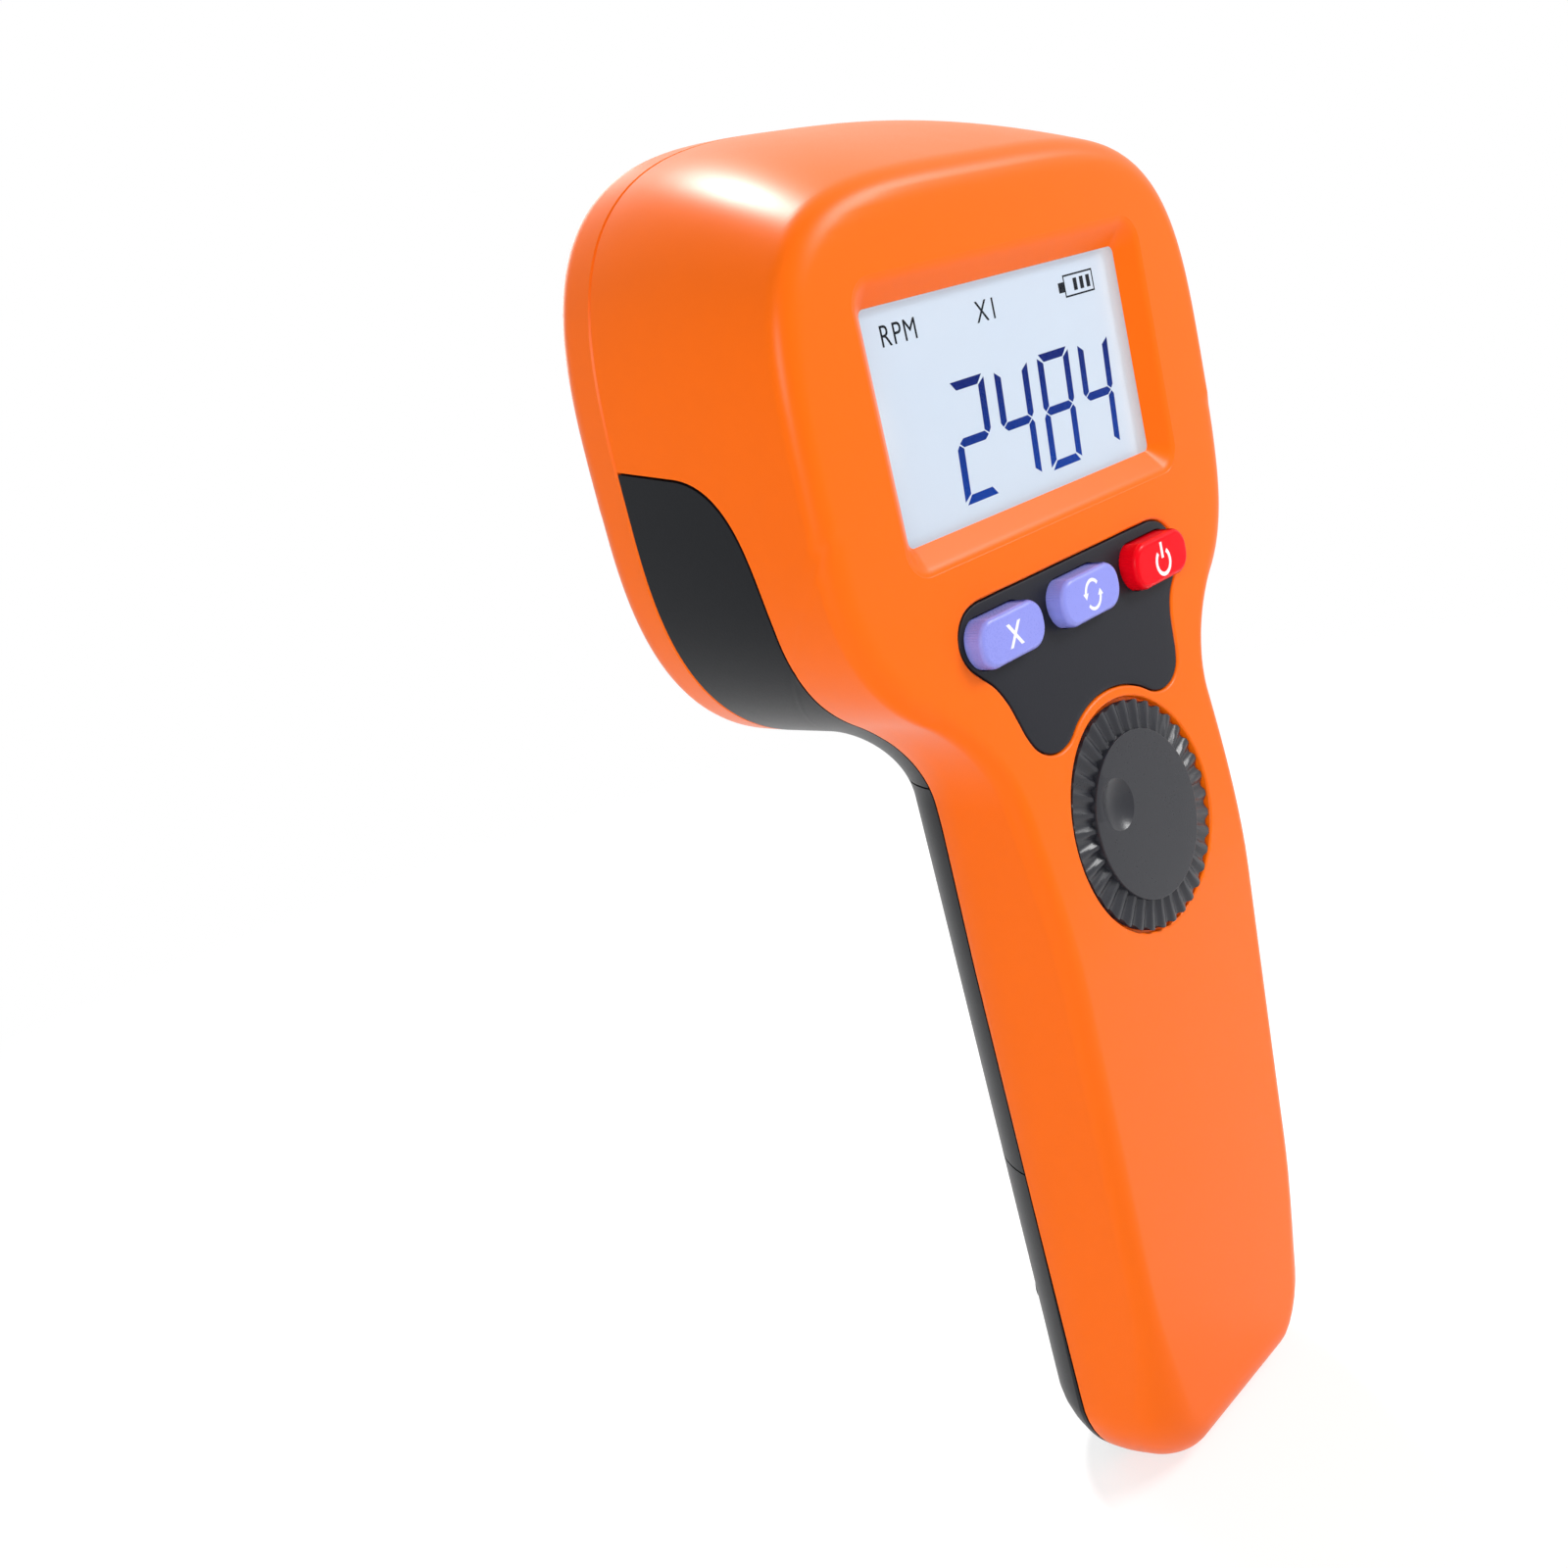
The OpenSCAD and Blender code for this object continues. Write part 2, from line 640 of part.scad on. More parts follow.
// An oblong with its four corners cut off.
function cut_corners(half, top, low, cut) = [
    [-half, top - cut], [cut - half, top], [half - cut, top], [half, top - cut],
    [half, low + cut], [half - cut, low], [cut - half, low], [-half, low + cut]];
module led_board() {
    color("#e8ebee") difference() {
        plate(cut_corners(led_board_half, light_z + led_board_top,
            light_z - led_board_low, sink_cut), led_board_y, board_t);
        for (p = standoff_places)
            rod(3.4, p.x, led_board_y - 1, p.y, 4);
    }
}
module heat_sink() {
    color("#b9bec4") difference() {
        plate(cut_corners(sink_half, display_z + sink_top, display_z - sink_low,
            sink_cut), sink_y, sink_t);
        for (p = standoff_places)
            rod(screw_r + 0.2, p.x, sink_y - 1, p.y, sink_t + 2);
        for (p = lead_places)
            rod(1.5, p.x, sink_y - 1, p.y, sink_t + 2);
    }
}
module sink_screws() {
    color(GREY) for (p = standoff_places) {
        rod(2.6, p.x, sink_y + sink_t + fit, p.y, 1.6);
        rod(screw_r, p.x, sink_y - 5, p.y, sink_t + 5 + 2 * fit);
    }
}
module standoffs() {
    color("#c9a24a") for (p = standoff_places) {
        difference() {
            translate([p.x, board_front + fit, p.y]) rotate([-90, 0, 0])
                cylinder(d = standoff_af / cos(30), h = standoff_l, $fn = 6);
            rod(screw_r + fit, p.x, sink_y - 6.5, p.y, 10);
        }
        rod(screw_r, p.x, board_y - 5, p.y, board_t + 5 + 3 * fit);
    }
}

module display_window() {
    color("#eef5fb") slab(frame_w - 2 * frame_t - 0.4, frame_h - 2 * frame_t - 0.4, 0,
        window_y, display_z, window_t);
}
module display_glass() {
    color("#cfdfee") slab(frame_w - 2 * frame_t - 0.4, frame_h - 2 * frame_t - 0.4, 0,
        glass_y, display_z, glass_t);
}
module display_backlight() {
    color("#f0f4f6") slab(display_w + 3, display_h + 2.6, 0, light_y, display_z,
        light_t);
}
module display_frame() {
    color("#242529") difference() {
        plate([for (q = [[1, 1], [-1, 1], [-1, -1], [1, -1]]) each
            let (w = frame_w / 2, h = frame_h / 2, c = frame_cut,
                a = [q.x * w, q.y * (h - c)], b = [q.x * (w - c), q.y * h])
            [for (e = q.x * q.y > 0 ? [a, b] : [b, a]) [e.x, display_z + e.y]]],
            window_y + 0.4, board_y - fit - window_y - 0.4);
        slab(frame_w - 2 * frame_t, frame_h - 2 * frame_t, 0, window_y - 1, display_z,
            20);
    }
}
module zebra_strips() {
    z = (display_h + 2.6) / 2 + 1.7;
    color("#d7cfd2") for (s = [-1, 1])
        slab(display_w, 2.2, 0, light_y, display_z + s * z, light_t);
}
module main_board() {
    color(GREEN) difference() {
        plate(head_outline(board_y, wall + board_gap, OUTLINE_STEPS), board_y, board_t);
        for (p = standoff_places)
            rod(screw_r + fit, p.x, board_y - 1, p.y, board_t + 2);
        for (s = [-1, 1])
            rod(boss_r + board_gap, s * head_screw.x, board_y - 1, head_screw.y,
                board_t + 2);
        slab(2 * head_half_rear, board_low, 0, board_y - 1,
            key_z - board_drop - board_low / 2, board_t + 2);
    }
}
module board_chips() {
    y = board_front + fit;
    color("#1b1c1f") {
        slab(10, 10, -16, y, display_z + 8, 1.4);
        slab(8, 5, 4, y, display_z + 14, 1.4);
        slab(8, 8, 22, y, display_z + 9, 5);
        slab(5, 5, -28, y, display_z - 10, 2);
        slab(12, 6, 0, y, display_z - 26, 3);
    }
}
module storage_capacitor() {
    r = 4.6;
    y = board_front + fit + r;
    color("#2b3550") translate([-10, y, display_z - 14]) rotate([0, 90, 0])
        cylinder(r = r, h = 20);
}
module led_leads() {
    color("#c23a2e") for (p = lead_places)
        rod(0.9, p.x, board_front + fit, p.y, led_board_y - board_front - 2 * fit);
}

module key_panel() {
    color(BLACK) difference() {
        intersection() {
            panel_prism(0);
            rear_layer(0, panel_t - fit, 40);
        }
        for (i = [-1:1])
            stadium(key_l + 0.6, key_h + 0.6, i * key_pitch, face_y - 20, key_z, 40);
    }
}
key_top = rear_surface(key_z) - key_proud;
flange_y = rear_surface(key_z - key_h / 2) + wall + 1.4;
flange_t = 1;
flange_l = key_l + 1.8;
flange_h = key_h + 2.2;
switch_y = flange_y + flange_t + key_travel + 0.3;
module key(i) {
    x = i * key_pitch;
    difference() {
        stadium(key_l, key_h, x, key_top, key_z, flange_y - key_top + flange_t / 2);
        for (s = [-1, 1])
            translate([x, key_top, key_z + s * key_h / 2]) rotate([45, 0, 0])
                cube([key_l - key_h, 0.9, 0.9], center = true);
    }
    stadium(flange_l, flange_h, x, flange_y, key_z, flange_t);
}
module plunger(i) {
    rod(plunger_r, i * key_pitch, flange_y + flange_t + 0.02, key_z,
        board_y - 0.6 - key_travel - flange_y - flange_t);
}
module key_multiply() { color("#a3a5f0") key(-1); }
module key_cycle() { color("#a3a5f0") key(0); }
module key_power() { color("#e81826") key(1); }
module plunger_multiply() { color("#e6e6e2") plunger(-1); }
module plunger_cycle() { color("#e6e6e2") plunger(0); }
module plunger_power() { color("#e6e6e2") plunger(1); }
module switch_bodies() {
    color("#26272b") for (i = [-1:1]) difference() {
        slab(6.2, 6.2, i * key_pitch, switch_y, key_z, board_y - fit - switch_y);
        rod(plunger_r + 0.06, i * key_pitch, switch_y - 1, key_z,
            board_y - 0.4 - switch_y + 1);
    }
}

// The knob and its encoder, along an axis square to the rear surface. Levels and
// places here are from the point where the axis meets that surface.
knob_tilt = atan((rear_surface(knob_z + 1) - rear_surface(knob_z - 1)) / 2);
function knob_place(y, z) = [
    rear_surface(knob_z) + y * cos(knob_tilt) + z * sin(knob_tilt),
    knob_z - y * sin(knob_tilt) + z * cos(knob_tilt)];
module on_knob_axis() {
    translate([0, rear_surface(knob_z), knob_z]) rotate([-knob_tilt, 0, 0]) children();
}
knob_top = -knob_proud;
knob_low = knob_seat - 0.3;
hub_r = shaft_r + 1.4;
hub_gap = 0.5;
encoder_w = 12;
encoder_t = 1.8;
encoder_y = wall + 0.2;
encoder_board_y = encoder_y + encoder_t + fit;
encoder_board_t = 0.8;
encoder_board_w = 19;
pin_places = [for (sx = [-1, 1], sz = [-1, 1]) [sx * 7.7, sz * 7.7]];
pin_r = 0.8;
dimple_r = 7.2;
dimple_drop = 0.9;
dimple_place = [-5.4, 3.2];
function toothed(r, depth) = [for (i = [0:2 * knob_teeth - 1])
    let (t = 180 * i / knob_teeth, q = i % 2 == 0 ? r : r - depth)
    [q * cos(t), q * sin(t)]];
module knob() {
    hub_end = encoder_y - 0.5;
    color("#3f4046") on_knob_axis() difference() {
        union() {
            translate([0, knob_top + knob_flank, 0]) rotate([90, 0, 0])
                linear_extrude(knob_flank, scale = knob_top_r / knob_r)
                    polygon(toothed(knob_r, tooth_depth));
            rod(knob_r - tooth_depth - 0.8, 0, knob_top + knob_flank - 0.2, 0,
                knob_low - knob_top - knob_flank + 0.2);
            rod(hub_r, 0, knob_low - 0.2, 0, hub_end - knob_low + 0.2);
        }
        rod(shaft_r, 0, knob_top + 0.9, 0, 20);
        translate([dimple_place.x, knob_top - dimple_r + dimple_drop, dimple_place.y])
            sphere(r = dimple_r);
    }
}
module encoder_shaft() {
    color(GREY) on_knob_axis() rod(shaft_r, 0, knob_top + 0.95, 0,
        encoder_y + encoder_t - 0.6 - knob_top - 0.95);
}
module encoder_body() {
    color("#5b6068") on_knob_axis() difference() {
        slab(encoder_w, encoder_w, 0, encoder_y, 0, encoder_t);
        rod(shaft_r + shaft_fit, 0, encoder_y - 1, 0, encoder_t + 1 - 0.4);
    }
}
module encoder_board() {
    color(GREEN) on_knob_axis() difference() {
        slab(encoder_board_w, encoder_board_w, 0, encoder_board_y, 0, encoder_board_t);
        for (p = pin_places)
            rod(pin_r + fit, p.x, encoder_board_y - 1, p.y, encoder_board_t + 2);
    }
}
// The ribbon from the encoder's board up to the main board.
link_t = 0.4;
link_half = 5;
module board_link() {
    y = encoder_board_y - fit;
    z = encoder_w / 2 + 0.6;
    bend = [knob_place(y, 0).x + 1.2, display_z - head_low_rear - 1];
    reach = [board_y - fit, key_z - board_drop + 0.8];
    color("#c9ccd0") side_prism([
        knob_place(y, z), knob_place(y, encoder_board_w / 2 + 0.6), bend, reach,
        reach + [0, 2], reach + [-link_t, 2], reach + [-link_t, 0.2],
        bend + [-link_t, 0.3], knob_place(y - link_t, encoder_board_w / 2 + 0.7),
        knob_place(y - link_t, z)], link_half);
}

// Battery parts.
tray_y = knob_place(encoder_board_y + encoder_board_t, encoder_board_w / 2).x + 0.1;
tray_t = 1.1;
tray_half = rail_x - 0.3;
tray_end = 1.2;
end_gap = 0.4;
contact_t = 0.4;
tray_low = door_low + end_gap;
tray_high = door_high - end_gap - 1;
bay_low = tray_low + tray_end + contact_t;
bay_high = tray_high - tray_end - contact_t;
button_h = 1;
spring_h = bay_high - bay_low - cell_l - button_h - 2 * fit;
module battery_tray() {
    depth = cell_y - tray_y + 3;
    color("#3a3c42") {
        slab(2 * tray_half, tray_high - tray_low, 0, tray_y, (tray_low + tray_high) / 2,
            tray_t);
        for (z = [tray_low, tray_high - tray_end])
            slab(2 * (tray_half - 1), tray_end, 0, tray_y, z + tray_end / 2, depth);
    }
}
module battery_contacts() {
    color("#d5d8dc") for (i = [-1:1], z = [bay_low - contact_t, bay_high])
        slab(10, contact_t - fit, i * cell_pitch, cell_y - 5,
            z + contact_t / 2, 7.5);
}
// A coil of wire that narrows toward its top.
coil_turns = 3.5;
coil_steps = 14;
wire_r = 0.4;
module coil(h) {
    n = coil_turns * coil_steps;
    sides = 6;
    loft([for (i = [0:n]) let (t = i / n, a = 360 * coil_turns * t,
        r = mix(4.2, 2.4, t), z = mix(wire_r, h - wire_r, t))
        [for (j = [0:sides - 1]) let (b = 360 * j / sides)
            [(r + wire_r * cos(b)) * cos(a), (r + wire_r * cos(b)) * sin(a),
                z + wire_r * sin(b)]]]);
}
module battery_springs() {
    color(GREY) for (i = [-1:1]) {
        if (i == 0)
            translate([0, cell_y, bay_high - fit]) rotate([180, 0, 0]) coil(spring_h);
        else
            translate([i * cell_pitch, cell_y, bay_low + fit]) coil(spring_h);
    }
}
module cell(i) {
    up = i != 0;
    base = up ? bay_high - fit - button_h - cell_l : bay_low + fit + button_h;
    translate([i * cell_pitch, cell_y, base]) cylinder(r = cell_r, h = cell_l);
    translate([i * cell_pitch, cell_y, up ? base + cell_l - 0.1 : base - button_h])
        cylinder(r = 2.7, h = button_h + 0.1);
}
module battery_cell_1() { color("#3b6ea8") cell(-1); }
module battery_cell_2() { color("#3b6ea8") cell(0); }
module battery_cell_3() { color("#3b6ea8") cell(1); }

module case_screws() {
    color(GREY) for (s = [-1, 1]) {
        rod(screw_head_r, s * head_screw.x, head_screw_head_y + fit, head_screw.y,
            screw_head_h);
        rod(screw_r, s * head_screw.x, head_screw_head_y - 15, head_screw.y, 15.2);
        rod(screw_head_r, s * foot_screw.x, foot_screw_head_y + fit, foot_screw.y,
            screw_head_h);
        rod(screw_r, s * foot_screw.x, foot_screw_head_y - 14, foot_screw.y, 14.2);
    }
}
module tripod_bush() {
    color("#c8a044") difference() {
        cylinder(r = bush_r, h = tripod_l);
        translate([0, 0, -1]) cylinder(r = tripod_r, h = tripod_l + 2);
    }
}

rear_shell();
front_shell();
front_bezel();
battery_door();
front_lens();
lens_seal();
reflector();
led_emitters();
led_board();
heat_sink();
sink_screws();
standoffs();
display_window();
display_glass();
display_backlight();
display_frame();
zebra_strips();
main_board();
board_chips();
storage_capacitor();
led_leads();
key_panel();
key_multiply();
key_cycle();
key_power();
switch_bodies();
plunger_multiply();
plunger_cycle();
plunger_power();
knob();
encoder_shaft();
encoder_body();
encoder_board();
board_link();
battery_tray();
battery_contacts();
battery_springs();
battery_cell_1();
battery_cell_2();
battery_cell_3();
case_screws();
tripod_bush();
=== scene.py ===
"""Looks of the handheld stroboscope: shells, light unit, display, keys, knob and battery bay.

Lengths in the classes are millimetres in the part's own frame: X to the right for
someone reading the display, Y the way the light shines, Z up, origin at the foot.
"""

import json
import logging
import math
from collections.abc import Callable, Iterator, Sequence
from contextlib import contextmanager
from dataclasses import dataclass, field
from enum import Enum

import bpy
import numpy as np
from mathutils import Matrix, Vector

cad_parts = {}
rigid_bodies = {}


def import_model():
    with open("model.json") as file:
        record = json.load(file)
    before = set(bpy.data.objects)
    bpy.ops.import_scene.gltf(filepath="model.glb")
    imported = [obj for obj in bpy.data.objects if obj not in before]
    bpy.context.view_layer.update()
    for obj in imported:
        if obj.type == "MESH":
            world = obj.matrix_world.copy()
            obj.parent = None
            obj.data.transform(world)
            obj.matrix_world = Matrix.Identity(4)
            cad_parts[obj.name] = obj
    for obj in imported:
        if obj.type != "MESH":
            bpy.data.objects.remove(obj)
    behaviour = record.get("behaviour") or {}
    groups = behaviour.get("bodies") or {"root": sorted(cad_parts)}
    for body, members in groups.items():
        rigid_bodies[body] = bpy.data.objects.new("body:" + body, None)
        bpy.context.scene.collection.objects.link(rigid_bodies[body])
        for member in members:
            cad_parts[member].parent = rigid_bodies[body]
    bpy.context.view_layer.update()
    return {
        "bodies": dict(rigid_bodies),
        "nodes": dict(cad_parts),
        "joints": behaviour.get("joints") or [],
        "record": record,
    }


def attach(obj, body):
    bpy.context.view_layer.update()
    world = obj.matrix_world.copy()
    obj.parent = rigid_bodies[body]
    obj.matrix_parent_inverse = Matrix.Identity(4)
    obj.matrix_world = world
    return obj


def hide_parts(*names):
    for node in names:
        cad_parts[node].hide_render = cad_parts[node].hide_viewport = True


MM = 0.001
WHITE = (1.0, 1.0, 1.0, 1.0)
LOG = logging.getLogger("stroboscope")
Piece = bpy.types.Object
Material = bpy.types.Material
Points = np.ndarray
Value = np.ndarray | float
Floats = tuple[float, ...]
Pair = tuple[float, float]
Pairs = tuple[Pair, ...]
Triple = tuple[float, float, float]
Sockets = dict[str, object]


def paint(code: str, light: float = 1.0) -> tuple[float, float, float, float]:
    """Turn a screen colour into a shader colour.

    Args:
        code: Colour as #rrggbb, as it looks on a screen.
        light: Factor on the linear colour.

    Returns:
        Linear red, green and blue, with an alpha of 1.
    """
    parts = [int(code[i : i + 2], 16) / 255 for i in (1, 3, 5)]
    linear = [v / 12.92 if v <= 0.04045 else ((v + 0.055) / 1.055) ** 2.4 for v in parts]
    return (*[min(1.0, v * light) for v in linear], 1.0)


class Wire:
    """A shader socket that takes part in Python arithmetic."""

    def __init__(self, nodes: "Nodes", socket: bpy.types.NodeSocket) -> None:
        """Keep the socket and the node tree that it belongs to."""
        self.nodes = nodes
        self.socket = socket

    def _math(self, operation: str, first: "Wire | float", second: "Wire | float") -> "Wire":
        """Math node for one operation."""
        return self.nodes.add("ShaderNodeMath", {"operation": operation}, {0: first, 1: second})

    def __add__(self, other: "Wire | float") -> "Wire":
        """Sum of two values."""
        return self._math("ADD", self, other)

    __radd__ = __add__

    def __sub__(self, other: "Wire | float") -> "Wire":
        """Difference of two values."""
        return self._math("SUBTRACT", self, other)

    def __rsub__(self, other: float) -> "Wire":
        """Difference with a number in front."""
        return self._math("SUBTRACT", other, self)

    def __mul__(self, other: "Wire | float") -> "Wire":
        """Product of two values."""
        return self._math("MULTIPLY", self, other)

    __rmul__ = __mul__

    def __pow__(self, other: "Wire | float") -> "Wire":
        """A value raised to a power."""
        return self._math("POWER", self, other)

    def __rpow__(self, other: float) -> "Wire":
        """A number raised to the value."""
        return self._math("POWER", other, self)

    def __gt__(self, other: "Wire | float") -> "Wire":
        """One where the value is above a level, else zero."""
        return self._math("GREATER_THAN", self, other)

    def __lt__(self, other: "Wire | float") -> "Wire":
        """One where the value is below a level, else zero."""
        return self._math("LESS_THAN", self, other)


class Nodes:
    """Builder of one shader node tree."""

    def __init__(self, tree: bpy.types.NodeTree) -> None:
        """Start from an empty tree."""
        self.tree = tree
        tree.nodes.clear()

    @classmethod
    def of_material(cls, name: str) -> "tuple[Material, Nodes]":
        """Make a material and the builder of its tree.

        Args:
            name: Name of the material.

        Returns:
            The material and its builder.
        """
        material = bpy.data.materials.new(name)
        material.use_nodes = True
        return material, cls(material.node_tree)

    def add(
        self,
        kind: str,
        settings: dict[str, object] | None = None,
        sockets: dict[str | int, object] | None = None,
        output: str | int = 0,
    ) -> Wire:
        """Add a node, with its settings first and then its sockets.

        Args:
            kind: Type of the node.
            settings: Properties of the node.
            sockets: Values or wires for its inputs.
            output: Name or index of the output to return.

        Returns:
            The chosen output.
        """
        node = self.tree.nodes.new(kind)
        for key, value in (settings or {}).items():
            setattr(node, key, value)
        for key, value in (sockets or {}).items():
            if isinstance(value, Wire):
                self.tree.links.new(value.socket, node.inputs[key])
            else:
                node.inputs[key].default_value = value
        return Wire(self, node.outputs[output]) if node.outputs else None

    def place(self, stretch: Sequence[float] = (1, 1, 1)) -> Wire:
        """Object coordinates, stretched along the axes."""
        where = self.add("ShaderNodeTexCoord", output="Object")
        return self.add("ShaderNodeMapping", {}, {"Vector": where, "Scale": tuple(stretch)})

    def noise(self, size: float, detail: float = 2.0, stretch: Sequence[float] = (1, 1, 1)) -> Wire:
        """Noise about 0.5 over the surface, with spots of a size in millimetres and finer layers."""
        sockets = {"Vector": self.place(stretch), "Scale": 1 / (size * MM), "Detail": detail}
        return self.add("ShaderNodeTexNoise", {}, sockets)

    def blend(self, share: Wire | float, first: object, second: object) -> Wire:
        """Colour between two colours, by the share of the second one."""
        sockets = {0: share, 6: first, 7: second}
        return self.add("ShaderNodeMix", {"data_type": "RGBA"}, sockets, 2)

    def shades(self, share: Wire, code: str, low: float, high: float) -> Wire:
        """Colour between a darker and a lighter shade of a screen colour."""
        return self.blend(share, paint(code, low), paint(code, high))

    def about(self, level: float, *swings: tuple[Wire, float]) -> Wire:
        """Value that noises move about a level.

        Args:
            level: Value where every noise is at its middle.
            swings: Noises about 0.5, each with the range that it adds.

        Returns:
            The value.
        """
        value = level
        for noise, span in swings:
            value = (noise - 0.5) * span + value
        return value

    def along(self, axis: str) -> Wire:
        """Place on the piece along an axis, in millimetres."""
        where = self.add("ShaderNodeTexCoord", output="Object")
        return self.add("ShaderNodeSeparateXYZ", {}, {0: where}, axis) * (1 / MM)

    def bump(self, height: Wire, depth: float) -> Wire:
        """Normal of a surface raised by up to a depth in millimetres."""
        return self.add("ShaderNodeBump", {}, {"Distance": depth * MM, "Height": height})

    def surface(self, sockets: Sockets) -> Wire:
        """Principled surface with these sockets."""
        return self.add("ShaderNodeBsdfPrincipled", {}, sockets)

    def show(self, shader: Wire, kind: str = "ShaderNodeOutputMaterial") -> None:
        """Join a shader to the tree's output."""
        self.add(kind, {}, {"Surface": shader})


@dataclass(frozen=True)
class Finish:
    """Surface of a piece; each kind gives the sockets of its shader."""

    name: str

    def sockets(self, n: Nodes) -> Sockets:
        """Values and wires of the principled surface."""
        raise NotImplementedError

    def shader(self, n: Nodes) -> Wire:
        """Shader of the surface, in a tree."""
        return n.surface(self.sockets(n))

    def make(self) -> Material:
        """Make the finish as a material.

        Returns:
            The material.
        """
        material, n = Nodes.of_material(self.name)
        n.show(self.shader(n))
        return material


@dataclass(frozen=True)
class Moulded(Finish):
    """Moulded plastic or rubber: a fine tool texture and slight changes of tone."""

    colour: str
    roughness: float = 0.42
    grain: float = 0.32
    depth: float = 0.012
    mottle: float = 0.07
    gloss: float = 0.5
    flow_size: float = 26.0
    cloud_size: float = 3.5
    cloud_share: float = 0.4
    cloud_height: float = 0.6
    swing: float = 0.08

    def sockets(self, n: Nodes) -> Sockets:
        """Grain in the bump and in the roughness.

        Args:
            n: Tree of the material.

        Returns:
            Sockets of the surface.
        """
        fine = n.noise(self.grain, 3.0)
        cloud = n.noise(self.cloud_size, 4.0)
        tone = n.noise(self.flow_size, 3.0) * (1 - self.cloud_share) + cloud * self.cloud_share
        return {
            "Base Color": n.shades(tone, self.colour, 1 - self.mottle, 1 + self.mottle),
            "Roughness": n.about(self.roughness, (fine, self.swing), (tone, self.swing)),
            "Normal": n.bump(fine + cloud * self.cloud_height, self.depth),
            "Specular IOR Level": self.gloss,
        }


@dataclass(frozen=True)
class Metal(Finish):
    """Drawn, turned or plated metal with fine marks in one direction."""

    colour: str
    roughness: float = 0.3
    stretch: Triple = (1.0, 0.06, 1.0)
    depth: float = 0.008
    mark_size: float = 0.22
    mark_swing: float = 0.22
    stain_size: float = 5.0
    stain_swing: float = 0.18
    shade: Pair = (0.86, 1.08)

    def sockets(self, n: Nodes) -> Sockets:
        """Drawn marks and a slight stain.

        Args:
            n: Tree of the material.

        Returns:
            Sockets of the surface.
        """
        marks = n.noise(self.mark_size, 2.0, self.stretch)
        stain = n.noise(self.stain_size, 4.0)
        return {
            "Base Color": n.shades(stain, self.colour, *self.shade),
            "Metallic": 1.0,
            "Roughness": n.about(self.roughness, (marks, self.mark_swing), (stain, self.stain_swing)),
            "Normal": n.bump(marks, self.depth),
        }


@dataclass(frozen=True)
class Mirror(Finish):
    """Vacuum-coated plastic of the reflector cups, with a slight orange peel."""

    colour: str = "#e6e8ea"
    roughness: float = 0.12
    swing: float = 0.12
    shade: Pair = (0.9, 1.06)
    haze_size: float = 9.0
    peel_size: float = 1.1
    peel_depth: float = 0.02

    def sockets(self, n: Nodes) -> Sockets:
        """Bright coat, hazy in places.

        Args:
            n: Tree of the material.

        Returns:
            Sockets of the surface.
        """
        haze = n.noise(self.haze_size, 3.0)
        return {
            "Base Color": n.shades(haze, self.colour, *self.shade),
            "Metallic": 1.0,
            "Roughness": n.about(self.roughness, (haze, self.swing)),
            "Normal": n.bump(n.noise(self.peel_size, 3.0), self.peel_depth),
        }


@dataclass(frozen=True)
class Board(Finish):
    """Circuit board: lacquer over tracks that run two ways, with round tinned lands."""

    mask: str
    track: str
    tin: str = "#c9ccc8"
    pitch: float = 1.3
    patch: float = 7.0
    track_edge: float = 0.72
    track_share: float = 0.6
    land_pitch: float = 3.6
    land_spread: float = 0.7
    land_r: float = 0.15
    land_metal: float = 0.9
    land_sheen: float = 0.08
    roughness: float = 0.34
    grain: float = 0.5
    swing: float = 0.12
    relief: float = 0.03

    def sockets(self, n: Nodes) -> Sockets:
        """Patches of upright and level tracks, and the lands between them.

        Args:
            n: Tree of the material.

        Returns:
            Sockets of the surface.
        """
        cell = {"Vector": n.place(), "Scale": 1 / (self.patch * MM)}
        way = n.add("ShaderNodeTexVoronoi", {"feature": "F1", "distance": "CHEBYCHEV"}, cell, "Color")
        choice = n.add("ShaderNodeSeparateColor", {}, {"Color": way}) > 0.5
        stripes = {"Vector": n.place(), "Scale": 2 / (self.pitch * MM * math.tau)}
        across = n.add("ShaderNodeTexWave", {"bands_direction": "X"}, stripes, "Fac")
        upward = n.add("ShaderNodeTexWave", {"bands_direction": "Z"}, stripes, "Fac")
        track = (across * choice + upward * (1 - choice)) > self.track_edge
        spots = {"Vector": n.place(), "Scale": 1 / (self.land_pitch * MM), "Randomness": self.land_spread}
        land = n.add("ShaderNodeTexVoronoi", {"feature": "F1"}, spots, "Distance") < self.land_r
        lacquer = n.blend(track * self.track_share, paint(self.mask), paint(self.track))
        return {
            "Base Color": n.blend(land, lacquer, paint(self.tin)),
            "Metallic": land * self.land_metal,
            "Roughness": n.about(self.roughness, (n.noise(self.grain), self.swing)) - land * self.land_sheen,
            "Normal": n.bump(track + land, self.relief),
        }


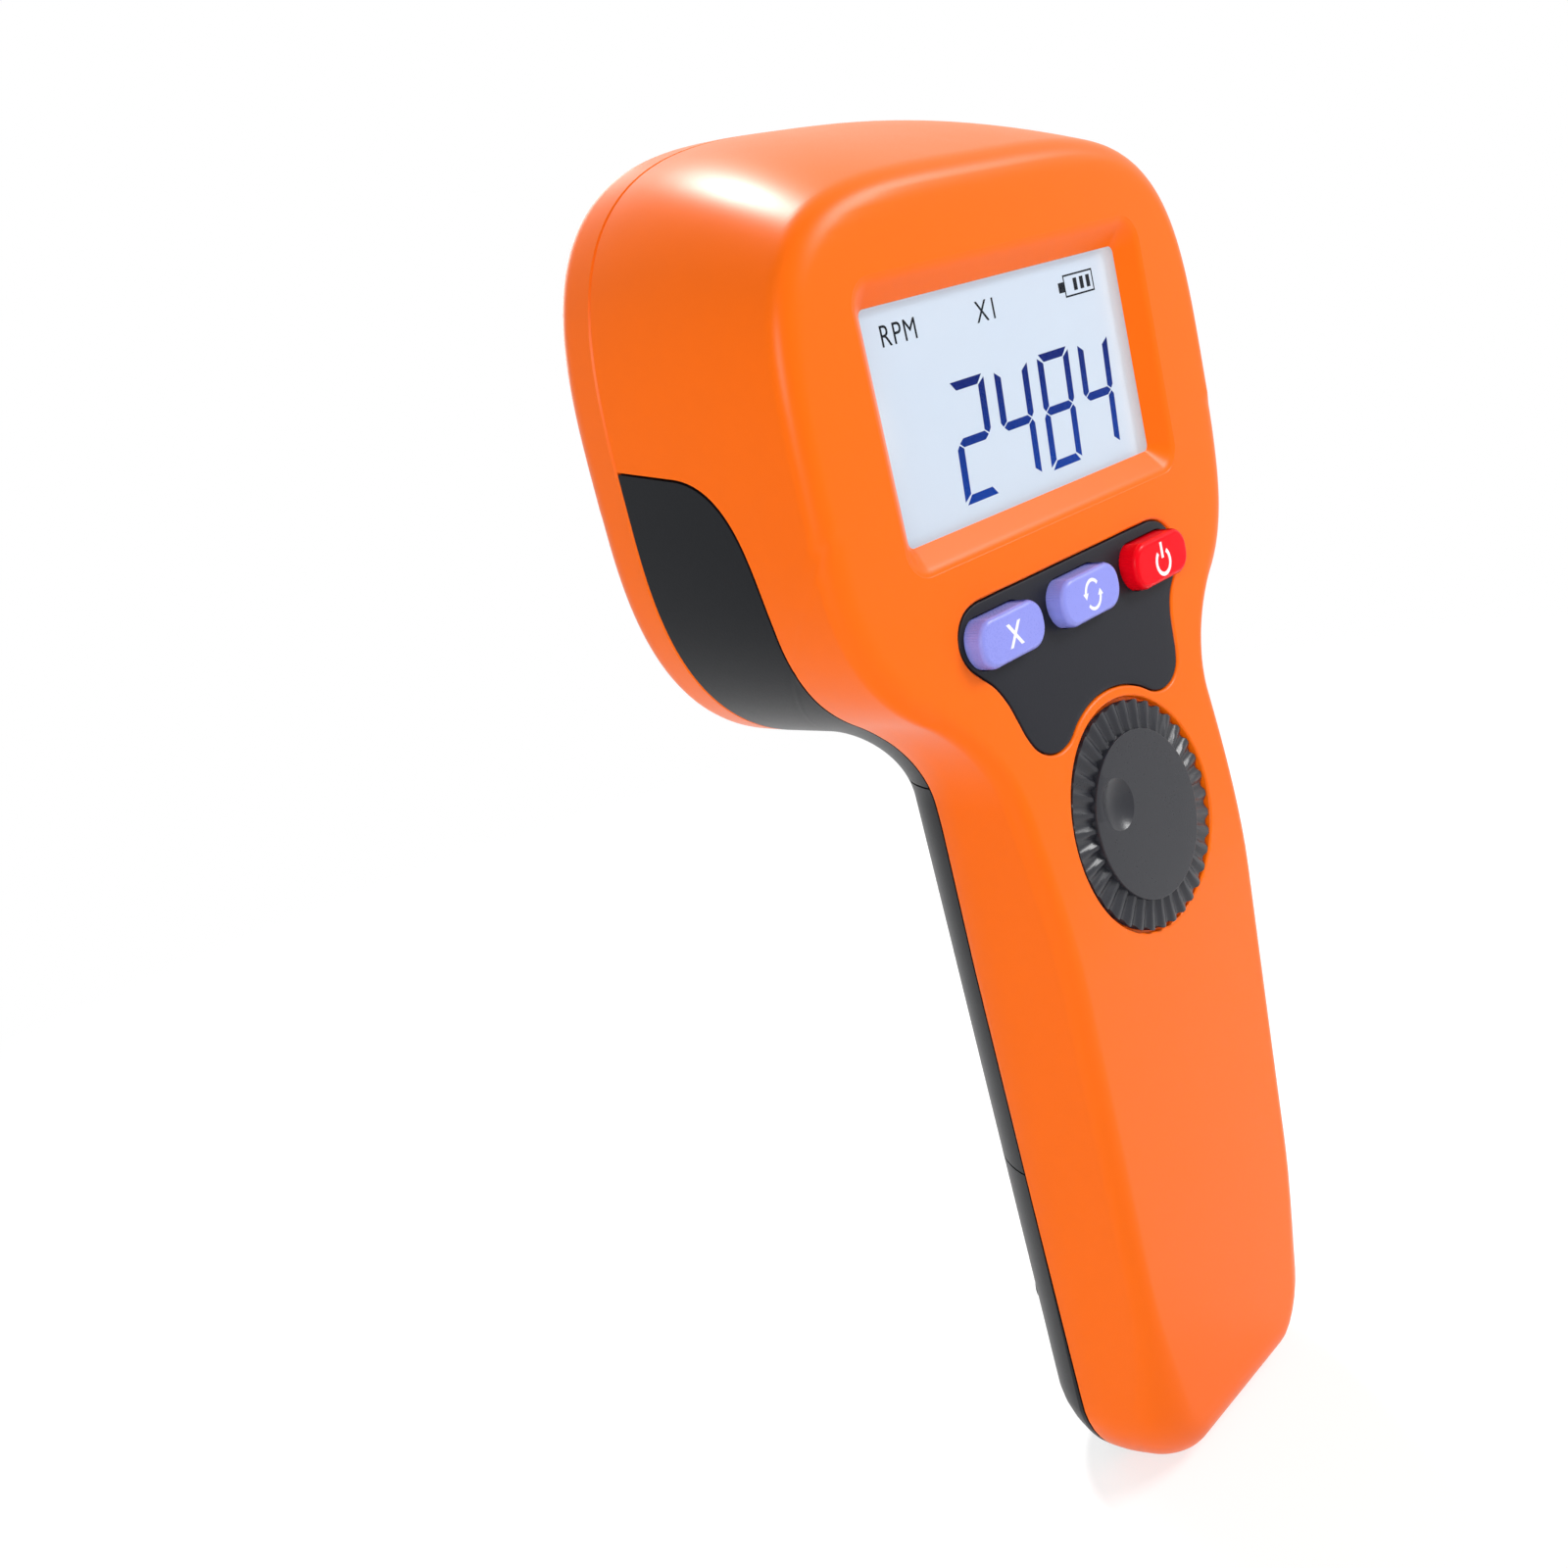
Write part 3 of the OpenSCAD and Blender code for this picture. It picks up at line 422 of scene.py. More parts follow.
@dataclass(frozen=True)
class Clear(Finish):
    """Clear moulded sheet: see-through face on, glossy at a slant."""

    tint: str = "#f4f8fb"
    gloss: float = 0.06
    swing: float = 0.05
    haze_size: float = 6.0
    bend: float = 1.45
    sheen: float = 0.2

    def sockets(self, n: Nodes) -> Sockets:
        """Glossy skin of the sheet."""
        return {
            "Base Color": paint(self.tint),
            "Roughness": n.about(self.gloss, (n.noise(self.haze_size, 3.0), self.swing)),
            "Specular IOR Level": 1.0,
            "Metallic": 1.0,
        }

    def shader(self, n: Nodes) -> Wire:
        """Transparent sheet under its skin, which shows on the outside alone.

        Args:
            n: Tree of the material.

        Returns:
            The shader.
        """
        inner = n.add("ShaderNodeNewGeometry", output="Backfacing")
        share = n.add("ShaderNodeFresnel", {}, {"IOR": self.bend}) * (1 - inner) * self.sheen
        through = n.add("ShaderNodeBsdfTransparent", {}, {"Color": paint(self.tint)})
        return n.add("ShaderNodeMixShader", {}, {0: share, 1: through, 2: super().shader(n)})


@dataclass(frozen=True)
class Screen(Finish):
    """Lit liquid-crystal glass, with painted light that makes it a little brighter at its two ends."""

    colour: str = "#aaadb4"
    # colour of the painted light at the glass's two ends
    painted_light_colour: str = "#bcbbbd"
    dim: str = "#93a2b6"
    half: float = 29.0
    level: float = 161.5
    glow: float = 0.95
    # place and fall-off of the painted light: a spot at the left end and a strip along the right edge
    painted_spot_at: float = 1.02
    painted_spot_fall: Pair = (70.0, 0.02)
    painted_edge_fall: float = 160.0
    dot_size: float = 0.4
    dot_share: float = 0.1
    cloud_size: float = 14.0
    cloud_share: float = 0.12
    roughness: float = 0.3

    def sockets(self, n: Nodes) -> Sockets:
        """Pale glass with painted light: a lighter spot at its left end and a lighter strip along its right
        edge.

        Args:
            n: Tree of the material.

        Returns:
            Sockets of the surface.
        """
        x = n.along("X") * (1 / self.half)
        z = n.along("Z") - self.level
        left, right = x + self.painted_spot_at, x - 1.0
        # painted light: a lighter spot near the left end and a lighter strip along the right edge, in both
        # the colour and the glow
        painted_spot = math.e ** (left * left * -self.painted_spot_fall[0] - z * z * self.painted_spot_fall[1])
        edge = math.e ** (right * right * -self.painted_edge_fall)
        dots = n.noise(self.dot_size, 1.0)
        colour = n.blend(painted_spot + edge, paint(self.colour), paint(self.painted_light_colour))
        share = (dots - 0.5) * self.dot_share + n.noise(self.cloud_size) * self.cloud_share
        tone = n.blend(share, colour, paint(self.dim))
        return {
            "Base Color": tone,
            "Roughness": n.about(self.roughness, (dots, self.dot_share)),
            "Emission Color": tone,
            "Emission Strength": self.glow,
        }


@dataclass(frozen=True)
class Ink(Finish):
    """Printed or switched marks, in a tone that changes up the mark."""

    low: str
    high: str
    level: float
    span: float
    roughness: float = 0.35
    gloss: float = 0.03
    cloud_size: float = 0.6
    cloud_swing: float = 0.2
    grain: float = 0.3
    swing: float = 0.1

    def sockets(self, n: Nodes) -> Sockets:
        """Flat colour that runs from a lower to an upper tone.

        Args:
            n: Tree of the material.

        Returns:
            Sockets of the surface.
        """
        rise = (n.along("Z") - self.level) * (1 / self.span)
        share = rise + n.about(0.5, (n.noise(self.cloud_size), self.cloud_swing))
        return {
            "Base Color": n.blend(share, paint(self.low), paint(self.high)),
            "Roughness": n.about(self.roughness, (n.noise(self.grain), self.swing)),
            "Specular IOR Level": self.gloss,
        }


@dataclass(frozen=True)
class Phosphor(Finish):
    """Yellow phosphor under the clear dome of an emitter."""

    colour: str = "#f2dc5a"
    shade: Pair = (0.85, 1.1)
    grain: float = 0.12
    depth: float = 0.02
    roughness: float = 0.35
    swing: float = 0.2
    coat: float = 0.8

    def sockets(self, n: Nodes) -> Sockets:
        """Grainy body with a glossy coat.

        Args:
            n: Tree of the material.

        Returns:
            Sockets of the surface.
        """
        grain = n.noise(self.grain, 3.0)
        return {
            "Base Color": n.shades(grain, self.colour, *self.shade),
            "Roughness": n.about(self.roughness, (grain, self.swing)),
            "Normal": n.bump(grain, self.depth),
            "Coat Weight": self.coat,
        }


@dataclass(frozen=True)
class Sleeve(Finish):
    """Shrunk sleeve of a cell, with a plain band near one end."""

    colour: str
    band: str
    level: float
    width: float
    band_metal: float = 0.7
    film_size: float = 2.0
    film_depth: float = 0.03
    roughness: float = 0.28
    swing: float = 0.16

    def sockets(self, n: Nodes) -> Sockets:
        """Glossy film with a ring of another colour.

        Args:
            n: Tree of the material.

        Returns:
            Sockets of the surface.
        """
        z = n.along("Z") - self.level
        ring = z * z < (self.width / 2) ** 2
        film = n.noise(self.film_size, 3.0)
        return {
            "Base Color": n.blend(ring, paint(self.colour), paint(self.band)),
            "Metallic": ring * self.band_metal,
            "Roughness": n.about(self.roughness, (film, self.swing)),
            "Normal": n.bump(film, self.film_depth),
        }


class Cut(Enum):
    """What a cutter does to a piece."""

    AWAY = "DIFFERENCE"
    KEEP = "INTERSECT"
    JOIN = "UNION"


class Along(Enum):
    """Axis that a flat outline is extruded along."""

    X = (1, 2, 0)
    Y = (0, 2, 1)
    Z = (0, 1, 2)


class Form(Enum):
    """Primitives that a piece can start from."""

    CUBE = "cube"
    CYLINDER = "cylinder"
    SPHERE = "uv_sphere"


class Bench:
    """Hand tools: primitives, lofts, selection in code, edit steps and modifiers."""

    @staticmethod
    def take(obj: Piece) -> None:
        """Select one object alone and make it active.

        Args:
            obj: Object to work on.
        """
        bpy.ops.object.select_all(action="DESELECT")
        obj.select_set(True)
        bpy.context.view_layer.objects.active = obj

    @staticmethod
    @contextmanager
    def edit(obj: Piece, whole: bool = False) -> Iterator[None]:
        """Edit mode on one object, where faces are selected.

        Args:
            obj: Object to edit.
            whole: Select the whole mesh first.

        Returns:
            Context that lasts as long as the edit.
        """
        Bench.take(obj)
        bpy.ops.object.mode_set(mode="EDIT")
        bpy.ops.mesh.select_mode(type="FACE")
        if whole:
            bpy.ops.mesh.select_all(action="SELECT")
        yield
        bpy.ops.object.mode_set(mode="OBJECT")

    @staticmethod
    def start(name: str, form: Form, **settings: object) -> Piece:
        """Add a primitive with its place applied to its mesh.

        Args:
            name: Name of the object.
            form: Primitive to start from.
            settings: Settings of the primitive, in metres.

        Returns:
            The new object, at the origin.
        """
        bpy.ops.object.select_all(action="DESELECT")
        makers = {
            Form.CUBE: bpy.ops.mesh.primitive_cube_add,
            Form.CYLINDER: bpy.ops.mesh.primitive_cylinder_add,
            Form.SPHERE: bpy.ops.mesh.primitive_uv_sphere_add,
        }
        makers[form](**settings)
        obj = bpy.context.object
        obj.name = name
        obj.data.name = name
        bpy.ops.object.transform_apply(location=True, rotation=True, scale=True)
        return obj

    @staticmethod
    def box(name: str, low: Sequence[float], high: Sequence[float]) -> Piece:
        """Block between two corners, in millimetres."""
        low, high = Vector(low) * MM, Vector(high) * MM
        return Bench.start(name, Form.CUBE, size=1, location=(low + high) / 2, scale=high - low)

    @staticmethod
    def rod(name: str, radius: float, x: float, z: float, y: Sequence[float], sides: int = 48) -> Piece:
        """Round rod along Y between two ends, with its axis at an X and a Z, in millimetres."""
        middle = (x * MM, (y[0] + y[1]) / 2 * MM, z * MM)
        return Bench.start(
            name, Form.CYLINDER, vertices=sides, radius=radius * MM,
            depth=(y[1] - y[0]) * MM, location=middle, rotation=(math.pi / 2, 0, 0),
        )

    @staticmethod
    def mesh(name: str, points: Points, faces: list[tuple[int, ...]]) -> Piece:
        """New object from points and faces.

        Args:
            name: Name of the object.
            points: Points in millimetres.
            faces: Indices of the points around each face.

        Returns:
            The object.
        """
        mesh = bpy.data.meshes.new(name)
        mesh.from_pydata((np.asarray(points, float) * MM).tolist(), [], faces)
        mesh.validate()
        obj = bpy.data.objects.new(name, mesh)
        bpy.context.scene.collection.objects.link(obj)
        return obj

    @staticmethod
    def outward(obj: Piece, merge: float = 0.0) -> None:
        """Merge doubles and turn the faces outwards.

        Args:
            obj: Closed piece.
            merge: Distance in millimetres under which points are merged.
        """
        with Bench.edit(obj, whole=True):
            if merge:
                bpy.ops.mesh.remove_doubles(threshold=merge * MM)
            bpy.ops.mesh.normals_make_consistent(inside=False)

    @staticmethod
    def loft(name: str, rings: Points, around: bool = False) -> Piece:
        """Skin over a row of closed sections.

        Args:
            name: Name of the object.
            rings: Sections of equal length, as an array of (section, point, 3).
            around: Join the last section to the first, else close both ends.

        Returns:
            The closed piece.
        """
        count, size, _ = rings.shape
        faces = []
        for i in range(count if around else count - 1):
            j = (i + 1) % count
            for k in range(size):
                m = (k + 1) % size
                faces.append((i * size + k, i * size + m, j * size + m, j * size + k))
        if not around:
            faces.append(tuple(range(size)))
            faces.append(tuple(range((count - 1) * size, count * size)))
        obj = Bench.mesh(name, rings.reshape(-1, 3), faces)
        Bench.outward(obj)
        return obj

    @staticmethod
    def prism(name: str, outline: Points, along: Along, start: float, depth: float) -> Piece:
        """Flat outline extruded along an axis, in millimetres.

        Args:
            name: Name of the object.
            outline: Points of the outline, in the two other axes.
            along: Axis of the extrusion.
            start: Level of the outline on that axis.
            depth: Length of the extrusion.

        Returns:
            The closed prism.
        """
        first, second, axis = along.value
        points = np.zeros((len(outline), 3))
        points[:, first] = outline[:, 0]
        points[:, second] = outline[:, 1]
        points[:, axis] = start
        obj = Bench.mesh(name, points, [tuple(range(len(outline)))])
        push = Vector((0, 0, 0))
        push[axis] = depth * MM
        with Bench.edit(obj, whole=True):
            bpy.ops.mesh.extrude_region_move(TRANSFORM_OT_translate={"value": push})
        Bench.outward(obj)
        return obj

    @staticmethod
    def pick_faces(obj: Piece, along: Along) -> None:
        """Select the faces that look out along an axis."""
        for face in obj.data.polygons:
            face.select = face.normal[along.value[2]] > 0.9

    @staticmethod
    def modify(obj: Piece, kind: str, **settings: object) -> None:
        """Add a modifier and apply it.

        Args:
            obj: Piece to change.
            kind: Type of the modifier.
            settings: Settings of the modifier.
        """
        Bench.take(obj)
        modifier = obj.modifiers.new(kind.lower(), kind)
        for key, value in settings.items():
            setattr(modifier, key, value)
        bpy.ops.object.modifier_apply(modifier=modifier.name)

    @staticmethod
    def cut(obj: Piece, cutter: Piece, how: Cut) -> None:
        """Combine a closed piece with a closed cutter, which is used up."""
        Bench.modify(obj, "BOOLEAN", operation=how.value, object=cutter, solver="MANIFOLD")
        bpy.data.objects.remove(cutter)

    @staticmethod
    def copy(obj: Piece, name: str, move: Sequence[float] = (0, 0, 0)) -> Piece:
        """Copy with its own mesh, moved in millimetres.

        Args:
            obj: Piece to copy.
            name: Name of the copy.
            move: Shift of the copy's mesh.

        Returns:
            The copy.
        """
        made = obj.copy()
        made.data = obj.data.copy()
        made.name = name
        made.data.transform(Matrix.Translation(Vector(move) * MM))
        bpy.context.scene.collection.objects.link(made)
        return made

    @staticmethod
    def join(name: str, parts: list[Piece]) -> Piece:
        """Join pieces into the first one.

        Args:
            name: Name of the whole.
            parts: Pieces to join.

        Returns:
            The whole.
        """
        Bench.take(parts[0])
        for part in parts:
            part.select_set(True)
        if len(parts) > 1:
            bpy.ops.object.join()
        parts[0].name = name
        return parts[0]

    @staticmethod
    def set_on(obj: Piece, spot: Matrix) -> None:
        """Turn and shift a piece, and apply that to its mesh.

        Args:
            obj: Piece to move.
            spot: Matrix that it is moved by.
        """
        Bench.take(obj)
        obj.matrix_world = spot
        bpy.ops.object.transform_apply(location=True, rotation=True, scale=True)

    @staticmethod
    def bevel(obj: Piece, width: float, segments: int = 3, angle: float = 40.0) -> None:
        """Round the edges sharper than an angle by a width in millimetres."""
        Bench.modify(
            obj, "BEVEL", width=width * MM, segments=segments, limit_method="ANGLE",
            angle_limit=math.radians(angle), harden_normals=False,
        )


def install(
    obj: Piece,
    material: Material,
    body: str,
    nodes: Sequence[str] = (),
    angle: float = 30.0,
) -> Piece:
    """Dress a finished piece, hang it on its body and report it.

    Args:
        obj: Finished piece, at the origin.
        material: Its finish.
        body: Body of the part that it moves with.
        nodes: Nodes of the part that it stands for.
        angle: Angle in degrees above which an edge stays sharp.

    Returns:
        The piece.
    """
    Bench.take(obj)
    bpy.ops.object.shade_smooth_by_angle(angle=math.radians(angle))
    Bench.modify(obj, "WEIGHTED_NORMAL", keep_sharp=True)
    obj.data.materials.clear()
    obj.data.materials.append(material)
    if nodes:
        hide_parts(*nodes)
    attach(obj, body)
    LOG.info("%s: %d faces on %s", obj.name, len(obj.data.polygons), body)
    return obj


def facing(origin: Sequence[float], tilt: float = 0.0) -> Matrix:
    """Frame of the rear face: right, up, and out towards the reader.

    Args:
        origin: Its origin in millimetres.
        tilt: Lean of the outward axis upwards, in radians.

    Returns:
        Matrix from that frame, in metres, to the part's frame.
    """
    c, s = math.cos(tilt), math.sin(tilt)
    turn = Matrix(((1, 0, 0), (0, s, -c), (0, c, s))).to_4x4()
    return Matrix.Translation(Vector(origin) * MM) @ turn


def rounded_box(half_w: float, half_h: float, radius: float, steps: int = 10) -> Points:
    """Outline of a rounded oblong.

    Args:
        half_w: Half its width.
        half_h: Half its height.
        radius: Rounding of its corners.
        steps: Number of steps in a corner.

    Returns:
        Points in order around it.
    """
    points = []
    for corner, (sx, sz) in enumerate(((1, 1), (-1, 1), (-1, -1), (1, -1))):
        for i in range(steps + 1):
            t = math.radians(90 * corner + 90 * i / steps)
            x = sx * (half_w - radius) + radius * math.cos(t)
            points.append((x, sz * (half_h - radius) + radius * math.sin(t)))
    return np.array(points)


def stadium(length: float, height: float, steps: int = 16) -> Points:
    """Outline of an oblong with round ends."""
    return rounded_box(length / 2, height / 2, height / 2 - 0.001, steps)


def curve_through(points: Points, steps: int) -> Points:
    """Smooth closed curve through points.

    Args:
        points: Points in order around the curve.
        steps: Steps between two points.

    Returns:
        Points on the curve.
    """
    after = np.roll(points, -1, axis=0)
    length = np.linalg.norm(after - points, axis=1)[:, None]
    slope = (after - points) / length
    before, gone = np.roll(slope, 1, axis=0), np.roll(length, 1, axis=0)
    lean = (slope * gone + before * length) / (length + gone)
    t = (np.arange(steps) / steps)[None, :, None]
    p0, p1 = points[:, None], after[:, None]
    m0, m1 = (lean * length)[:, None], (np.roll(lean, -1, axis=0) * length)[:, None]
    curve = (2 * t**3 - 3 * t**2 + 1) * p0 + (t**3 - 2 * t**2 + t) * m0
    curve = curve + (3 * t**2 - 2 * t**3) * p1 + (t**3 - t**2) * m1
    return curve.reshape(-1, 2)


def bend(start: Sequence[float], via: Sequence[float], end: Sequence[float], steps: int) -> Points:
    """Curve from a start to an end, pulled towards the point where the tangents of both meet."""
    t = np.linspace(0, 1, steps + 1)[:, None]
    return np.array(start) * (1 - t) ** 2 + np.array(via) * 2 * t * (1 - t) + np.array(end) * t**2


def rounding(radius: float, start: float, end: float, steps: int) -> list[Pair]:
    """Steps around a rounded edge, between angles in degrees: down from its top, and out."""
    turn = np.radians(np.linspace(start, end, steps))
    return [(radius * (1 - math.cos(t)), radius * math.sin(t)) for t in turn]


def round_max(a: Points, b: Points, r: Value) -> Points:
    """Meeting of two fields with a rounded edge."""
    inner = np.minimum(np.maximum(a + r, b + r), 0)
    return inner + np.hypot(np.maximum(a + r, 0), np.maximum(b + r, 0)) - r


def round_min(a: Points, b: Points, r: float) -> Points:
    """Union of two fields with a hollow of a radius between them."""
    return np.maximum(r, np.minimum(a, b)) - np.hypot(np.maximum(r - a, 0), np.maximum(r - b, 0))


def mix(a: float, b: float, t: Value) -> Value:
    """Value between two values."""
    return a + (b - a) * t


def ease(t: Value) -> Value:
    """Step from 0 to 1 with level ends."""
    c = np.clip(t, 0, 1)
    return c * c * (3 - 2 * c)


@dataclass(frozen=True)
class Station:
    """One section of the case: its centre, its upward axis and its spread."""

    centre: Triple
    up: Triple
    wide: float
    tall: float
    room: float


@dataclass(frozen=True)
class CaseForm:
    """Shape of the case: a head that runs into a handle, as one rounded field.

    The field is zero on the outer surface and negative inside, in millimetres.
    """

    display_z: float = 161.5
    face_y: float = -9.0
    wall: float = 2.4
    seam: float = 0.3
    edge_r: float = 2.7
    head_depth: float = 33.0
    half_rear: float = 46.8
    half_front: float = 46.3
    bezel_lean: float = 0.121
    top_rear: float = 29.8
    top_front: float = 41.1
    low_rear: float = 43.0
    low_front: float = 42.6
    wide_rear: float = 10.0
    wide_front: float = 3.6
    square_rear: float = 4.1
    square_up: float = 3.3
    square_low: float = 2.8
    rise_power: float = 1.6
    rise_end: float = 1.2
    neck_r: float = 9.5
    handle_half: float = 26.2
    handle_front: float = 22.2
    handle_draft: float = 0.021
    handle_front_r: float = 16.0
    handle_level: float = 111.5
    lean_foot: float = 0.327
    lean_rate: float = 0.0028
    lean_y: float = 0.4
    grip_out: float = 6.0
    swell_start: float = 16.0
    swell_span: float = 62.0
    grip_draft: float = 0.022
    foot_r: float = 14.0
    foot_front_r: float = 6.5
    foot_edge: float = 7.0
    foot_soft: float = 36.0
    bezel_depth: float = 9.0
    bezel_r: float = 4.0
    knob_z: float = 100.0
    knob_tilt: float = math.radians(6.467)
    light_drop: float = 0.9
    pivot_drop: float = 9.0
    fan_start: float = 8.0
    fan_room: float = 50.0
    fan_tall: Pair = (15.0, 44.0)
    fan_turns: Triple = (70.0, 45.0, 65.0)
    far: float = 95.0
    room_share: float = 0.97
    finer: int = 3
    steps: int = 70
    stride: float = 0.92
    tiny: float = 1e-6
    bend_share: float = 9.0

    @property
    def bezel_y(self) -> float:
        """Plane between the shells and the bezel."""
        return self.face_y + self.head_depth

    @property
    def bezel_front(self) -> float:
        """Front plane of the bezel."""
        return self.bezel_y + self.bezel_depth

    @property
    def pivot_z(self) -> float:
        """Height of the line that the fan of sections turns about."""
        return self.display_z - self.low_front - self.pivot_drop

    @property
    def light_z(self) -> float:
        """Height of the middle of the light."""
        return self.display_z - self.light_drop

    @property
    def knob_frame(self) -> Matrix:
        """Frame on the rear face at the knob: right, up, and out along its axis."""
        return facing((0, float(self.rear(self.knob_z)), self.knob_z), self.knob_tilt)

    def rear(self, z: Value) -> Value:
        """Depth of the rear surface, which swells out at the grip.

        Args:
            z: Height.

        Returns:
            Depth at that height.
        """
        swell = self.grip_out * ease((self.display_z - self.swell_start - z) / self.swell_span)
        grip_low = self.display_z - self.swell_start - self.swell_span
        return self.face_y - swell + self.grip_draft * np.maximum(0, grip_low - z)

    def on_rear(self, flat: Points, depth: float) -> Points:
        """Flat outline laid on the rear surface, at a depth below it."""
        return np.stack([flat[:, 0], self.rear(flat[:, 1]) + depth, flat[:, 1]], axis=1)

    def handle_face(self, z: Value) -> Value:
        """Depth of the handle's front at a height."""
        return self.face_y + self.handle_front - self.handle_draft * (self.handle_level - z)

    def head_sizes(self, y: Value) -> tuple:
        """Outline of the head at a depth.

        Args:
            y: Depth along the light.

        Returns:
            Half width, widest level, top and underside.
        """
        t = (y - self.face_y) / self.head_depth
        rise = 1 - (1 - np.clip(t / self.rise_end, 0, 1)) ** self.rise_power
        full = 1 - (1 - 1 / self.rise_end) ** self.rise_power
        half = mix(self.half_rear, self.half_front, np.minimum(t, 1))
        half = half - self.bezel_lean * np.maximum(0, y - self.bezel_y)
        middle = self.display_z - mix(self.wide_rear, self.wide_front, t)
        top = self.display_z + mix(self.top_rear, self.top_front, rise / full)
        return half, middle, top, self.display_z - mix(self.low_rear, self.low_front, t)

    def square(self, y: Value) -> Value:
        """Squareness of the head's upper outline at a depth."""
        return mix(self.square_rear, self.square_up, np.clip((y - self.face_y) / self.head_depth, 0, 1))

    def head_side(self, p: Points) -> Points:
        """Field of the head's sides.

        Args:
            p: Points, with X, Y and Z last.

        Returns:
            Field at the points.
        """
        half, middle, top, low = self.head_sizes(p[..., 1])
        dz = p[..., 2] - middle
        tall = np.where(dz > 0, top - middle, middle - low)
        n = np.where(dz > 0, self.square(p[..., 1]), self.square_low)
        across = (np.abs(p[..., 0]) / half) ** n + (np.abs(dz) / tall) ** n
        return (across ** (1 / n) - 1) * np.minimum(half, tall)

    def handle_side(self, p: Points) -> Points:
        """Field of the handle's sides, front and foot.

        Args:
            p: Points, with X, Y and Z last.

        Returns:
            Field at the points.
        """
        x, y, z = np.abs(p[..., 0]), p[..., 1], p[..., 2]
        front = y - self.handle_face(np.minimum(z, self.handle_level))
        lean = np.maximum(0, self.lean_foot - self.lean_rate * z) * np.maximum(0, self.lean_y - y)
        section = round_max(x - self.handle_half + lean, front, self.handle_front_r)
        foot = mix(self.foot_front_r, self.foot_r, ease(x / self.handle_half))
        return round_max(section, np.maximum(-z, z - self.display_z), foot)

    def body(self, p: Points) -> Points:
        """Field of the whole case.

        Args:
            p: Points, with X, Y and Z last.

        Returns:
            Field at the points.
        """
        sides = round_min(self.head_side(p), self.handle_side(p), self.neck_r)
        edge = mix(self.foot_edge, self.edge_r, ease(p[..., 2] / self.foot_soft))
        return round_max(sides, self.rear(p[..., 2]) - p[..., 1], edge)

    def bezel(self, p: Points) -> Points:
        """Field of the bezel's outside."""
        return round_max(self.head_side(p), p[..., 1] - self.bezel_front, self.bezel_r)

    def level_station(self, z: float) -> Station:
        """Level section of the handle."""
        rear, front = float(self.rear(z)), float(self.handle_face(z))
        return Station((0, (rear + front) / 2, z), (0, -1, 0), self.handle_half, (front - rear) / 2, self.far)

    def fan_station(self, angle: float) -> Station:
        """Section of the bend between the handle and the head.

        Args:
            angle: Turn from level towards upright, in degrees.

        Returns:
            The section.
        """
        a = math.radians(angle)
        room_turn, wide_turn, tall_turn = self.fan_turns
        room = mix(self.head_depth - self.fan_start, self.fan_room, min(1, angle / room_turn) ** 2)
        centre = (0, self.bezel_y - room * math.cos(a), self.pivot_z + room * math.sin(a))
        wide = mix(self.handle_half, self.half_front, min(1, angle / wide_turn))
        tall = mix(*self.fan_tall, min(1, angle / tall_turn))
        return Station(centre, (0, -math.cos(a), math.sin(a)), wide, tall, room)

    def upright_station(self, y: float) -> Station:
        """Upright section across the light."""
        centre = (0, y, self.pivot_z + self.fan_room)
        return Station(centre, (0, 0, 1), self.half_front, self.fan_tall[1], self.fan_room)

    def step_in(
        self,
        shape: Callable[[Points], Points],
        centre: Points,
        ways: Points,
        start: Points,
        inset: float = 0.0,
    ) -> Points:
        """Points where rays meet a field's surface, found by stepping in from outside.

        Args:
            shape: Field of the surface.
            centre: Point that the rays come from.
            ways: Unit vectors along the rays.
            start: Distance from the centre at which each ray starts.
            inset: Depth below the surface.

        Returns:
            One point on each ray.
        """
        s = start
        for _ in range(self.steps):
            s = s - self.stride * (shape(centre + ways * s[:, None]) + inset)
        return centre + ways * s[:, None]

    def ring(self, station: Station, inset: float, rays: int) -> Points:
        """Section of the case, found by stepping in along rays.

        Args:
            station: Where the section lies.
            inset: Depth below the outer surface.
            rays: Number of steps around half the section.

        Returns:
            Points in order around the whole section.
        """
        t = np.radians(np.linspace(-90, 90, self.finer * rays + 1))
        up = np.array(station.up, float)
        d = np.outer(station.wide * np.cos(t), (1, 0, 0)) + np.outer(station.tall * np.sin(t), up)
        d /= np.linalg.norm(d, axis=1)[:, None]
        toward = d @ up
        limit = -self.room_share * station.room / np.minimum(toward, -self.tiny)
        start = np.minimum(self.far, np.where(toward < -self.tiny, limit, self.far))
        path = self.step_in(self.body, np.array(station.centre, float), d, start, inset)
        half = self.spread(path, rays)
        half[[0, -1], 0] = 0
        return np.concatenate([half, half[-2:0:-1] * (-1, 1, 1)])

    def spread(self, path: Points, steps: int) -> Points:
        """Points spread along a path, closer together where it bends.

        Args:
            path: Points of an open path.
            steps: Number of steps between the new points.

        Returns:
            The new points.
        """
        way = np.diff(path, axis=0)
        length = np.linalg.norm(way, axis=1)
        way = way / length[:, None]
        turn = np.arccos(np.clip(np.sum(way[1:] * way[:-1], axis=1), -1, 1))
        weight = length + self.bend_share * (np.append(turn, 0) + np.append(0, turn)) / 2
        along = np.append(0, np.cumsum(weight))
        places = np.linspace(0, along[-1], steps + 1)
        return np.stack([np.interp(places, along, path[:, i]) for i in range(3)], axis=1)

